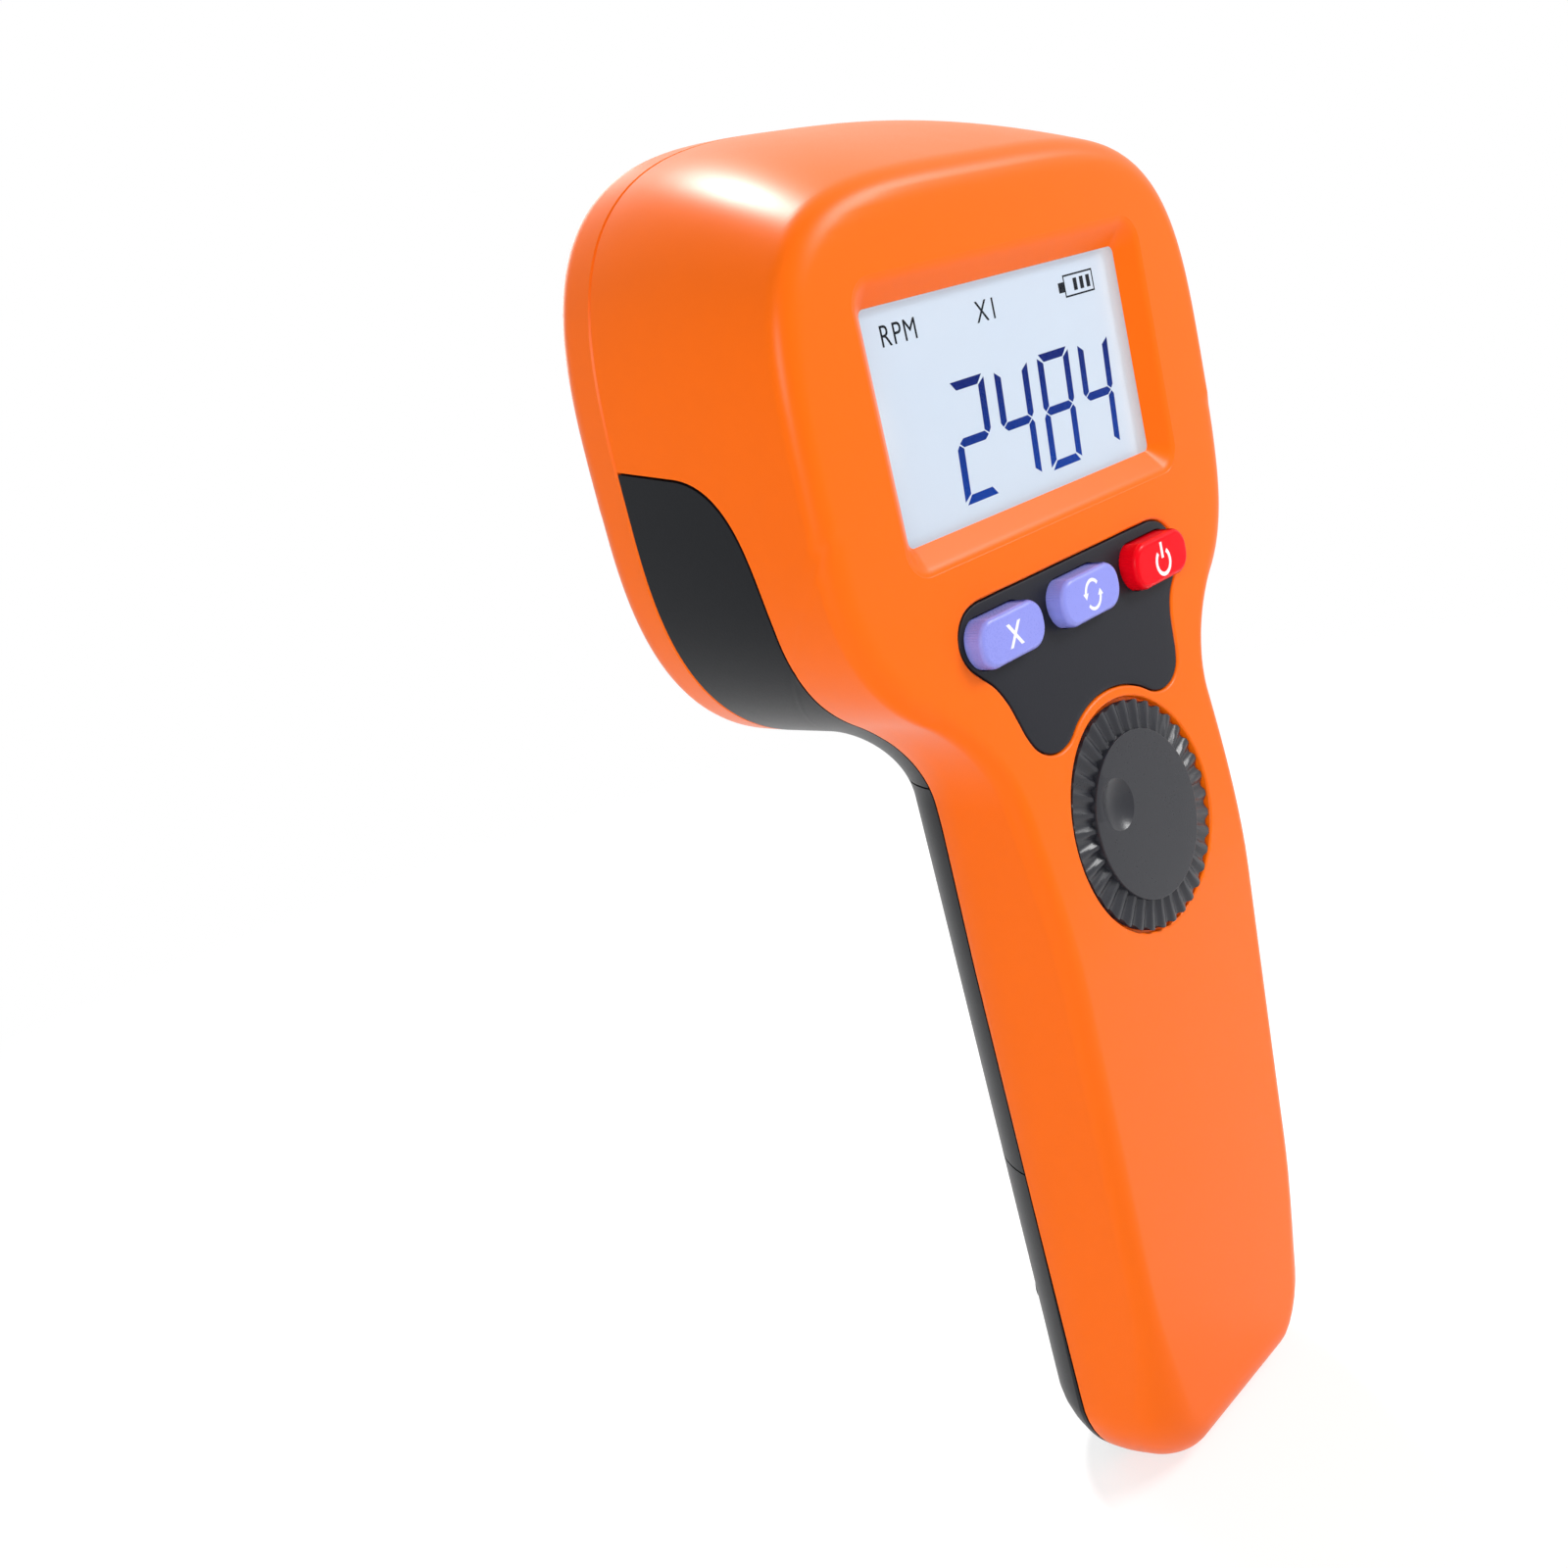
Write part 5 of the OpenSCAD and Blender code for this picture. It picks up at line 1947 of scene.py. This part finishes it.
@dataclass
class Keypad:
    """Key panel and the three keys with their signs."""

    form: CaseForm
    panel_top: float = 24.1
    panel_middle: float = 11.0
    panel_t: float = 1.15
    panel_sunk: float = 0.06
    panel_half: Pairs = (
        (0, 0), (10, 0), (19.4, 0), (21.8, 0.05), (24.6, 0.9), (26.5, 2.9), (27, 5.1), (26.3, 7.2),
        (24.6, 9), (22.6, 10.9), (21, 13.6), (20.1, 16.5), (19.4, 19), (18.2, 21.2), (16.2, 22.6),
        (13.6, 23.1), (11.2, 22.65),
    )
    face_shares: Floats = (0.02, 0.2, 0.4, 0.6, 0.75, 0.87)
    edge_steps: Pairs = ((-0.3, 0.03), (-0.12, 0.1), (-0.02, 0.28), (0.0, 0.5))
    back_shares: Floats = (1.0, 0.75, 0.5, 0.25, 0.02)
    curve_steps: int = 5
    knob_drop: float = 61.5
    arc_r: float = 18.4
    arc_places: Floats = (8.2, 5.5, 2.8, 0)
    key_pitch: float = 18.8
    key_z: float = 132.3
    key_l: float = 14.2
    key_h: float = 6.6
    key_proud: float = 2.6
    key_corner: float = 2.95
    key_edge: float = 0.8
    key_sunk: float = 0.5
    hole: Pair = (14.8, 7.2)
    hole_ends: Pair = (-12.0, 20.0)
    flange: Triple = (16.0, 8.8, 1.0)
    flange_y: float = -6.25
    sign_stroke: float = 0.58
    sign_sunk: float = 0.01
    sign_t: float = 0.035
    cross_arm: Pairs = ((0.32, 0), (1.6, 1.6), (0.92, 1.6), (0, 0.42))
    power_r: float = 1.8
    power_turn: Pair = (128.0, 412.0)
    power_drop: float = 0.45
    power_bar: Pairs = ((0, 0.1), (0, 2.4))
    cycle_r: Pair = (1.75, 2.0)
    cycle_turn: Pair = (14.0, 140.0)
    cycle_share: float = 0.8
    cycle_tip: Pairs = ((2.35, 0.5), (1.75, -0.4), (1.1, 0.42))

    def outline(self, grow: float = 0.0) -> Points:
        """Outline of the panel, grown by a distance.

        Args:
            grow: Distance beyond the panel's edge.

        Returns:
            Points across X and Z.
        """
        top = self.panel_top
        arc = [(x, self.knob_drop - math.sqrt(self.arc_r**2 - x**2) - top) for x in self.arc_places]
        right = np.array([*self.panel_half, *arc]) * (1, -1) + (0, self.form.display_z - top)
        whole = np.concatenate([right, right[-2:0:-1] * (-1, 1)])
        curve = curve_through(whole, self.curve_steps)
        along = np.roll(curve, -1, axis=0) - np.roll(curve, 1, axis=0)
        along /= np.linalg.norm(along, axis=1)[:, None]
        return curve + np.stack([-along[:, 1], along[:, 0]], axis=1) * grow

    def key_hole(self, place: int) -> Piece:
        """Cutter for the hole of one key, counted to the right from the middle one.

        Args:
            place: -1, 0 or 1.

        Returns:
            The cutter.
        """
        start, length = self.hole_ends
        flat = stadium(*self.hole) + (place * self.key_pitch, self.key_z)
        return Bench.prism("key_hole", flat, Along.Y, self.form.face_y + start, length)

    def panel(self) -> Piece:
        """Thin inlay that follows the rear surface, with its three holes.

        Returns:
            The panel.
        """
        middle = np.array([0, self.form.display_z - self.panel_top - self.panel_middle])
        levels = [(share, 0.0, 0.0) for share in self.face_shares]
        levels += [(1.0, grow, depth) for grow, depth in self.edge_steps]
        levels += [(share, 0.0, self.panel_t) for share in self.back_shares]
        rings = []
        for share, grow, depth in levels:
            flat = middle + (self.outline(grow) - middle) * share
            rings.append(self.form.on_rear(flat, depth + self.panel_sunk))
        obj = Bench.loft("key_panel_looks", np.array(rings))
        for place in (-1, 0, 1):
            Bench.cut(obj, self.key_hole(place), Cut.AWAY)
        return obj

    def key(self, name: str, x: float) -> Piece:
        """One key: a round-ended cap with a soft edge on a flange.

        Args:
            name: Name of the piece.
            x: Place along X.

        Returns:
            The key.
        """
        rear = float(self.form.rear(self.key_z))
        top, low = self.key_proud, rear - self.flange_y - self.key_sunk
        flat = rounded_box(self.key_l / 2, self.key_h / 2, self.key_corner, 14)
        cap = Bench.prism(name, flat, Along.Z, low, top - low)
        Bench.pick_faces(cap, Along.Z)
        with Bench.edit(cap):
            bpy.ops.mesh.bevel(offset=self.key_edge * MM, segments=6, profile=0.5, affect="EDGES")
        long, tall, thick = self.flange
        flange = Bench.prism("flange", stadium(long, tall), Along.Z, rear - self.flange_y - thick, thick)
        obj = Bench.join(name, [cap, flange])
        Bench.set_on(obj, facing((x, rear, self.key_z)))
        return obj

    def stroke(self, path: Points, width: float) -> Points:
        """Outline of a stroke of even width along an open path.

        Args:
            path: Points of the path.
            width: Width of the stroke.

        Returns:
            Points around the stroke.
        """
        along = np.gradient(path, axis=0)
        along /= np.linalg.norm(along, axis=1)[:, None]
        side = np.stack([-along[:, 1], along[:, 0]], axis=1) * width / 2
        return np.concatenate([path + side, (path - side)[::-1]])

    def arc(self, radius: Sequence[float], turn: Sequence[float], steps: int = 24) -> Points:
        """Points on part of an oval, between two angles in degrees."""
        t = np.radians(np.linspace(*turn, steps))
        return np.stack([radius[0] * np.cos(t), radius[1] * np.sin(t)], axis=1)

    def sign_outlines(self, sign: Sign) -> list[Points]:
        """Outlines of a sign about the middle of its key.

        Args:
            sign: Sign to draw.

        Returns:
            Closed outlines.
        """
        w = self.sign_stroke
        if sign is Sign.MULTIPLY:
            arm = np.array(self.cross_arm)
            upper = np.concatenate([arm, arm[2:0:-1] * (-1, 1)])
            return [np.concatenate([upper, -upper])]
        if sign is Sign.POWER:
            ring = self.arc((self.power_r, self.power_r), self.power_turn, 40) + (0, -self.power_drop)
            return [self.stroke(ring, w), self.stroke(np.array(self.power_bar), w)]
        sweep = self.stroke(self.arc(self.cycle_r, self.cycle_turn), w * self.cycle_share)
        arrow = np.concatenate([sweep, np.array(self.cycle_tip)])
        return [arrow * (-s, s) for s in (-1, 1)]

    def build(self, panel: Material, finishes: Sequence[Material], white: Material) -> None:
        """Make the panel and the keys with their signs.

        Args:
            panel: Finish of the panel.
            finishes: Finishes of the three keys, from left to right.
            white: Finish of the signs.
        """
        install(self.panel(), panel, "case", ["key_panel"])
        slots = ("lavender_key", "lavender_key", "red_key")
        rear = float(self.form.rear(self.key_z))
        level = self.key_proud - self.sign_sunk
        for i, (sign, finish, slot) in enumerate(zip(Sign, finishes, slots)):
            x = (i - 1) * self.key_pitch
            name = f"key_{sign.value}"
            install(self.key(f"{name}_looks", x), finish, name, [name], 35)
            outlines = self.sign_outlines(sign)
            marks = [Bench.prism("sign", flat, Along.Z, level, self.sign_t) for flat in outlines]
            mark = Bench.join(f"{name}_sign", marks)
            Bench.set_on(mark, facing((x, rear, self.key_z)))
            install(mark, white, name)


@dataclass
class Knob:
    """Ribbed setting knob with a finger dimple."""

    form: CaseForm
    radius: float = 16.45
    proud: float = 0.6
    flank: float = 0.9
    low: float = 1.2
    pole: float = 0.05
    disc_rings: Floats = (4.0, 8.0)
    disc_r: float = 12.2
    disc_edge: float = 0.22
    disc_soft: float = 0.3
    step: float = 0.45
    teeth: int = 36
    tooth_depth: float = 0.5
    tooth_rise: float = 1.8
    tooth_foot: float = 0.35
    groove: float = 0.55
    groove_fall: float = 0.45
    rib_steps: Floats = (0.0, 0.3, 0.65, 0.95, 1.0)
    steps: int = 8
    base_in: float = 0.1
    base_edge: float = 0.06
    dimple: Pair = (-6.2, 3.8)
    dimple_r: float = 3.7
    dimple_depth: float = 1.05
    hub_r: float = 4.4
    hub_end: float = 2.1

    def crest(self) -> Points:
        """Ribs around the knob: 1 on a crest, 0 in a groove."""
        t = np.arange(self.teeth * self.steps) / self.steps
        return np.clip(np.abs(t % 1 * 2 - 1) * self.tooth_rise - self.tooth_foot, 0, 1)

    def ring(self, radius: float, height: float, depth: float = 0.0, sink: float = 0.0) -> Points:
        """Ring around the axis, plain or ribbed.

        Args:
            radius: Radius at the crests.
            height: Height of the crests above the case.
            depth: How much nearer to the axis the grooves lie.
            sink: How much lower the grooves lie.

        Returns:
            Points of the ring: right, up and out.
        """
        low = 1 - self.crest()
        t = np.arange(len(low)) / len(low) * math.tau
        r = radius - depth * low
        return np.stack([r * np.cos(t), r * np.sin(t), height - sink * low], axis=1)

    def rings(self) -> list[Points]:
        """Rings from the middle of the disc over the ribs to the end of the hub.

        Returns:
            The rings in order.
        """
        edge, soft = self.disc_edge, self.disc_edge * self.disc_soft
        disc = (self.pole, *self.disc_rings, self.disc_r - edge)
        plain = [(radius, self.proud) for radius in disc]
        plain += [(self.disc_r - soft, self.proud - soft), (self.disc_r, self.proud - edge)]
        made = [self.ring(radius, height) for radius, height in plain]
        for t in self.rib_steps:
            height = self.proud - mix(self.step, self.flank, t)
            sink = self.groove * (1 - self.groove_fall * t)
            made.append(self.ring(mix(self.disc_r, self.radius, t), height, self.tooth_depth * t, sink))
        base = self.radius - self.base_in
        under = [(base, -self.low + self.base_edge), (base, -self.low), (self.hub_r, -self.low)]
        under += [(self.hub_r, -self.hub_end), (self.pole, -self.hub_end)]
        return made + [self.ring(radius, height) for radius, height in under]

    def build(self, finish: Material) -> None:
        """Loft the knob over its rings, then sink the dimple.

        Args:
            finish: Finish of the knob.
        """
        obj = Bench.loft("knob_looks", np.array(self.rings()))
        bowl = (self.dimple_r**2 + self.dimple_depth**2) / (2 * self.dimple_depth)
        middle = Vector((*self.dimple, self.proud - self.dimple_depth + bowl)) * MM
        ball = Bench.start(
            "dimple", Form.SPHERE, segments=96, ring_count=48, radius=bowl * MM, location=middle
        )
        Bench.cut(obj, ball, Cut.AWAY)
        Bench.set_on(obj, self.form.knob_frame)
        install(obj, finish, "knob", ["knob"], 28)


@dataclass
class BatteryBay:
    """Three cells in the handle."""

    pitch: float = 14.4
    cell_y: float = 0.691
    low: float = 55.55
    high: float = 109.95
    radius: float = 7.1
    length: float = 49.5
    crimp: float = 1.2
    dip: float = 0.35
    edge: float = 0.16
    button_r: float = 2.7
    button_h: float = 1.0

    def cell(self) -> Piece:
        """One cell upright from the origin, its button at the top.

        Returns:
            The cell.
        """
        obj = Bench.start(
            "cell", Form.CYLINDER, vertices=64, radius=self.radius * MM,
            depth=self.length * MM, location=(0, 0, self.length / 2 * MM),
        )
        Bench.pick_faces(obj, Along.Z)
        shoulder = self.radius - self.crimp - self.button_r
        steps = [(self.crimp, -self.dip), (shoulder, self.button_h + self.dip)]
        with Bench.edit(obj):
            for inset, rise in steps:
                bpy.ops.mesh.inset(thickness=inset * MM)
                bpy.ops.mesh.extrude_region_move(TRANSFORM_OT_translate={"value": (0, 0, rise * MM)})
        Bench.bevel(obj, self.edge, 3)
        return obj

    def build(self, sleeves: Sequence[Material]) -> None:
        """Place the three cells, the middle one upside down.

        Args:
            sleeves: Finishes of the outer cells and of the middle cell.
        """
        first = self.cell()
        base = self.high - self.button_h - self.length
        turned = self.low + self.button_h + self.length
        for i in (-1, 0, 1):
            obj = Bench.copy(first, f"battery_cell_{i + 2}_looks")
            place = Vector((i * self.pitch, self.cell_y, base if i else turned)) * MM
            turn = Matrix.Rotation(0 if i else math.pi, 4, "X")
            Bench.set_on(obj, Matrix.Translation(place) @ turn)
            install(obj, sleeves[i == 0], "case", [f"battery_cell_{i + 2}"])
        bpy.data.objects.remove(first)


@dataclass
class Fasteners:
    """Case screws with cross recesses, and the tripod bush."""

    places: tuple[tuple[float, float, float, float], ...] = (
        (29.6, 13.05, 128.9, 15.0), (15.0, 6.05, 27.5, 14.0),
    )
    head_r: float = 2.6
    head_h: float = 1.8
    head_edge: float = 0.55
    slot_half: Pair = (1.55, 0.26)
    slot_depth: float = 0.95
    shank_r: float = 1.4
    shank_over: float = 0.1
    bush_r: float = 4.4
    bush_l: float = 10.0
    bush_edge: Pair = (0.2, 0.25)
    bush_gap: float = 0.02
    bush_sides: int = 48
    thread_r: float = 3.175
    thread_pitch: float = 1.27
    thread_depth: float = 0.35
    thread_ends: Pair = (0.4, 0.5)
    merge: float = 0.002

    def screw(self, length: float) -> Piece:
        """One screw along Y, the underside of its head at the origin.

        Args:
            length: Length of the shank.

        Returns:
            The screw.
        """
        head = Bench.rod("screw", self.head_r, 0, 0, (0, self.head_h), 40)
        Bench.pick_faces(head, Along.Y)
        with Bench.edit(head):
            bpy.ops.mesh.bevel(offset=self.head_edge * MM, segments=4, affect="EDGES")
        half, thin = self.slot_half
        for turn in (0, math.pi / 2):
            low = (-half, self.head_h - self.slot_depth, -thin)
            slot = Bench.box("slot", low, (half, self.head_h + 1, thin))
            Bench.set_on(slot, Matrix.Rotation(turn, 4, "Y"))
            Bench.cut(head, slot, Cut.AWAY)
        shank = Bench.rod("shank", self.shank_r, 0, 0, (-length, self.shank_over), 24)
        return Bench.join("screw", [head, shank])

    def build(self, steel: Material, brass: Material) -> None:
        """Make the four screws and the bush.

        Args:
            steel: Finish of the screws.
            brass: Finish of the bush.
        """
        made = []
        for x, y, z, length in self.places:
            first = self.screw(length)
            made += [Bench.copy(first, "screw", (s * x, y, z)) for s in (-1, 1)]
            bpy.data.objects.remove(first)
        install(Bench.join("case_screws_looks", made), steel, "case", ["case_screws"])
        self.bush(brass)

    def bush(self, brass: Material) -> None:
        """Turn the bush about its axis, with thread ridges in its bore.

        Args:
            brass: Finish of the bush.
        """
        low, high = self.bush_gap, self.bush_l - self.bush_gap
        edge, rise = self.bush_edge
        above, below = [self.thread_r + widen for widen in self.thread_ends]
        section = [(self.bush_r - edge, low), (self.bush_r, rise), (self.bush_r, high), (above, high)]
        for i in range(int(self.bush_l / self.thread_pitch), 0, -1):
            level = i * self.thread_pitch
            section.append((self.thread_r + self.thread_depth, level))
            section.append((self.thread_r, level - self.thread_pitch / 2))
        section.append((below, low))
        points = np.array([(r, 0, z) for r, z in section])
        obj = Bench.mesh("tripod_bush_looks", points, [tuple(range(len(points)))])
        with Bench.edit(obj, whole=True):
            bpy.ops.mesh.delete(type="ONLY_FACE")
            bpy.ops.mesh.select_all(action="SELECT")
            bpy.ops.mesh.spin(steps=self.bush_sides, angle=math.tau, center=(0, 0, 0), axis=(0, 0, 1))
        Bench.outward(obj, self.merge)
        install(obj, brass, "case", ["tripod_bush"])


@dataclass
class Inside:
    """Nodes of the part that keep their own shape and get a finish."""

    frame: dict
    finishes: dict[str, Material]

    def build(self) -> None:
        """Give each carried-over node its finish."""
        for node, material in self.finishes.items():
            mesh = self.frame["nodes"][node].data
            mesh.materials.clear()
            mesh.materials.append(material)
            LOG.info("%s: finished in %s", node, material.name)


@dataclass
class Studio:
    """Camera, soft lights, pale floor and white surround."""

    lens: float = 38.138
    place: Triple = (-188.314, -141.971, 177.463)
    right: Triple = (0.660129, -0.713533, -0.234734)
    up: Triple = (0.351136, 0.016878, 0.936173)
    forward: Triple = (0.664028, 0.700418, -0.261689)
    target: Triple = (0.0, 5.0, 120.0)
    ambient: float = 0.24
    floor_light: float = 0.68
    floor_tone: float = 0.4
    floor_pale: float = 0.8
    floor_size: float = 12.0
    near: float = 220.0
    far_share: float = 2.2
    sensor: float = 36.0
    clip: float = 10.0
    lamps: tuple[tuple[Triple, float, float], ...] = (
        ((300.0, 405.0, 930.0), 140.0, 5.5),
        ((-790.0, -430.0, 400.0), 420.0, 4.6),
        ((470.0, -420.0, 540.0), 300.0, 4.0),
        ((250.0, 700.0, 420.0), 500.0, 2.0),
    )

    def camera(self) -> None:
        """Camera at the photograph's angle."""
        bpy.ops.object.select_all(action="DESELECT")
        bpy.ops.object.camera_add()
        obj = bpy.context.object
        obj.name = "camera"
        obj.data.lens = self.lens
        obj.data.sensor_width = self.sensor
        obj.data.clip_start = self.clip * MM
        axes = Matrix((self.right, self.up, [-v for v in self.forward])).transposed()
        obj.matrix_world = Matrix.Translation(Vector(self.place) * MM) @ axes.to_4x4()
        bpy.context.scene.camera = obj

    def lights(self) -> None:
        """Large soft lamps aimed at the object."""
        for i, (place, size, power) in enumerate(self.lamps):
            spot = Vector(place) * MM
            aim = (Vector(self.target) * MM - spot).to_track_quat("-Z", "Y")
            bpy.ops.object.light_add(type="AREA", location=spot, rotation=aim.to_euler())
            lamp = bpy.context.object
            lamp.name = f"lamp_{i}"
            lamp.data.shape = "DISK"
            lamp.data.size = size * MM
            lamp.data.energy = power

    def rays(self, n: Nodes) -> Wire:
        """Share of rays from the camera, from gloss and from glass.

        Args:
            n: Tree that it is added to.

        Returns:
            The share.
        """
        kinds = ("Is Camera Ray", "Is Glossy Ray", "Is Transmission Ray")
        seen, gloss, glass = [n.add("ShaderNodeLightPath", output=kind) for kind in kinds]
        return seen + gloss + glass

    def surround(self) -> None:
        """White to the camera, in gloss and through glass, and softer as light."""
        world = bpy.data.worlds.new("surround")
        world.use_nodes = True
        bpy.context.scene.world = world
        n = Nodes(world.node_tree)
        soft = n.add("ShaderNodeBackground", {}, {"Color": WHITE, "Strength": self.ambient})
        white = n.add("ShaderNodeBackground", {}, {"Color": WHITE, "Strength": 1.0})
        shown = n.add("ShaderNodeMixShader", {}, {0: self.rays(n), 1: soft, 2: white})
        n.show(shown, "ShaderNodeOutputWorld")

    def floor(self) -> None:
        """Pale floor that keeps the object's shadow."""
        bpy.ops.object.select_all(action="DESELECT")
        bpy.ops.mesh.primitive_plane_add(size=self.floor_size)
        obj = bpy.context.object
        obj.name = "floor"
        material, n = Nodes.of_material("floor_sweep")
        matt, pale = [
            n.add("ShaderNodeBsdfDiffuse", {}, {"Color": (grey, grey, grey, 1.0)})
            for grey in (self.floor_tone, self.floor_pale)
        ]
        glow = n.add("ShaderNodeEmission", {}, {"Color": WHITE, "Strength": self.floor_light})
        lit = n.add("ShaderNodeAddShader", {}, {0: matt, 1: glow})
        white = n.add("ShaderNodeEmission", {}, {"Color": WHITE, "Strength": 1.0})
        where = n.add("ShaderNodeTexCoord", output="Object")
        away = n.add("ShaderNodeVectorMath", {"operation": "LENGTH"}, {0: where}, "Value")
        near = self.near * MM
        fall = {"Value": away, 1: near, 2: near * self.far_share, 3: 1.0, 4: 0.0}
        share = n.add("ShaderNodeMapRange", {"interpolation_type": "SMOOTHSTEP"}, fall)
        shown = n.add("ShaderNodeMixShader", {}, {0: share, 1: white, 2: lit})
        n.show(n.add("ShaderNodeMixShader", {}, {0: self.rays(n), 1: pale, 2: shown}))
        obj.data.materials.append(material)

    def build(self) -> None:
        """Set up the whole studio."""
        self.camera()
        self.lights()
        self.surround()
        self.floor()
        bpy.context.scene.view_settings.view_transform = "Standard"


def inside_finishes() -> dict[str, Material]:
    """Finishes of the nodes that keep their own shape.

    Returns:
        Material for each node.
    """
    steel = Metal("bright_steel", "#b9bdc2", roughness=0.28).make()
    sink = Metal("milled_aluminium", "#c3c7cb", roughness=0.36, stretch=(1.0, 1.0, 0.05)).make()
    dark = Moulded("dark_plastic", "#2b2d31", roughness=0.5, grain=0.4, depth=0.02).make()
    white = Moulded("white_plastic", "#e9e9e5", roughness=0.4).make()
    seal = Moulded("seal_rubber", "#1d1d1f", roughness=0.75, grain=0.5, depth=0.03, gloss=0.3).make()
    zebra = Moulded("contact_rubber", "#9a9499", roughness=0.7, grain=0.3, depth=0.02).make()
    epoxy = Moulded("chip_epoxy", "#1e1f22", roughness=0.55, grain=0.2, depth=0.02).make()
    green = Board("green_lacquer", "#1d5c3c", "#2f8056").make()
    pale = Board("white_lacquer", "#e4e7ea", "#d2d6d9", tin="#c4b27a", pitch=2.6).make()
    can = Sleeve("capacitor_sleeve", "#26304d", "#9aa3b5", level=147.5, width=1.6).make()
    finishes = {
        "lens_seal": seal,
        "led_board": pale,
        "heat_sink": sink,
        "display_window": Clear("window_acrylic", "#f7fafc").make(),
        "display_glass": Screen("lit_glass").make(),
        "zebra_strips": zebra,
        "display_backlight": white,
        "main_board": green,
        "encoder_board": green,
        "board_chips": epoxy,
        "storage_capacitor": can,
        "led_leads": Moulded("lead_insulation", "#b8342a", roughness=0.45, grain=0.25).make(),
        "board_link": Moulded("ribbon_insulation", "#b9bcc0", roughness=0.5, grain=0.3).make(),
        "encoder_body": Metal("encoder_can", "#8c9096", roughness=0.4).make(),
        "standoffs": Metal("standoff_brass", "#c7a04a", roughness=0.3).make(),
    }
    shared = (
        (steel, ("sink_screws", "encoder_shaft", "battery_contacts", "battery_springs")),
        (dark, ("display_frame", "switch_bodies", "battery_tray")),
        (white, ("plunger_multiply", "plunger_cycle", "plunger_power")),
    )
    for material, nodes in shared:
        finishes.update({node: material for node in nodes})
    return finishes


def main() -> None:
    """Build every sub-assembly on the frame, then the studio."""
    logging.basicConfig(level=logging.INFO, format="%(message)s")
    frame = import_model()
    form = CaseForm()
    orange = Moulded(
        "orange_satin", "#fb6c06", roughness=0.34, grain=0.3, depth=0.003, mottle=0.03, gloss=0.16
    ).make()
    black = Moulded("charcoal_satin", "#15171b", roughness=0.38, grain=0.34, depth=0.01, gloss=0.14).make()
    keypad = Keypad(form)
    Shells(form).build(keypad, orange, black)
    FrontBezel(form).build(orange)
    LightUnit(form).build(
        Clear("lens_acrylic", "#f6f9fb").make(), Mirror("mirror_coat").make(), Phosphor("led_phosphor").make()
    )
    Display(form).build(
        Ink("figure_ink", "#0f3f9e", "#0a1f6e", level=156.8, span=16.0).make(),
        Ink("mark_ink", "#20232b", "#181a20", level=172.5, span=4.0).make(),
    )
    charcoal = Moulded("panel_charcoal", "#1c1d24", roughness=0.42, grain=0.3, depth=0.01, gloss=0.18).make()
    lavender = Moulded(
        "lavender_plastic", "#9096ea", roughness=0.28, grain=0.3, depth=0.004, gloss=0.2
    ).make()
    red = Moulded("red_plastic", "#f2061a", roughness=0.25, grain=0.3, depth=0.004, gloss=0.08).make()
    sign_white = Ink("sign_white", "#f2f2f6", "#fbfbff", level=132.3, span=8.0).make()
    keypad.build(charcoal, (lavender, lavender, red), sign_white)
    grey = Moulded("knob_charcoal", "#26272d", roughness=0.29, grain=0.3, depth=0.008, gloss=0.36).make()
    Knob(form).build(grey)
    BatteryBay().build(
        [
            Sleeve(name, "#2f66a8", "#c9ced4", level=level, width=5.0).make()
            for name, level in (("cell_sleeve", 104.0), ("cell_sleeve_turned", 61.5))
        ]
    )
    Fasteners().build(
        Metal("screw_steel", "#a9adb3", roughness=0.32).make(),
        Metal("bush_brass", "#c8a044", roughness=0.28).make(),
    )
    Inside(frame, inside_finishes()).build()
    Studio().build()


if __name__ == "__main__":
    main()
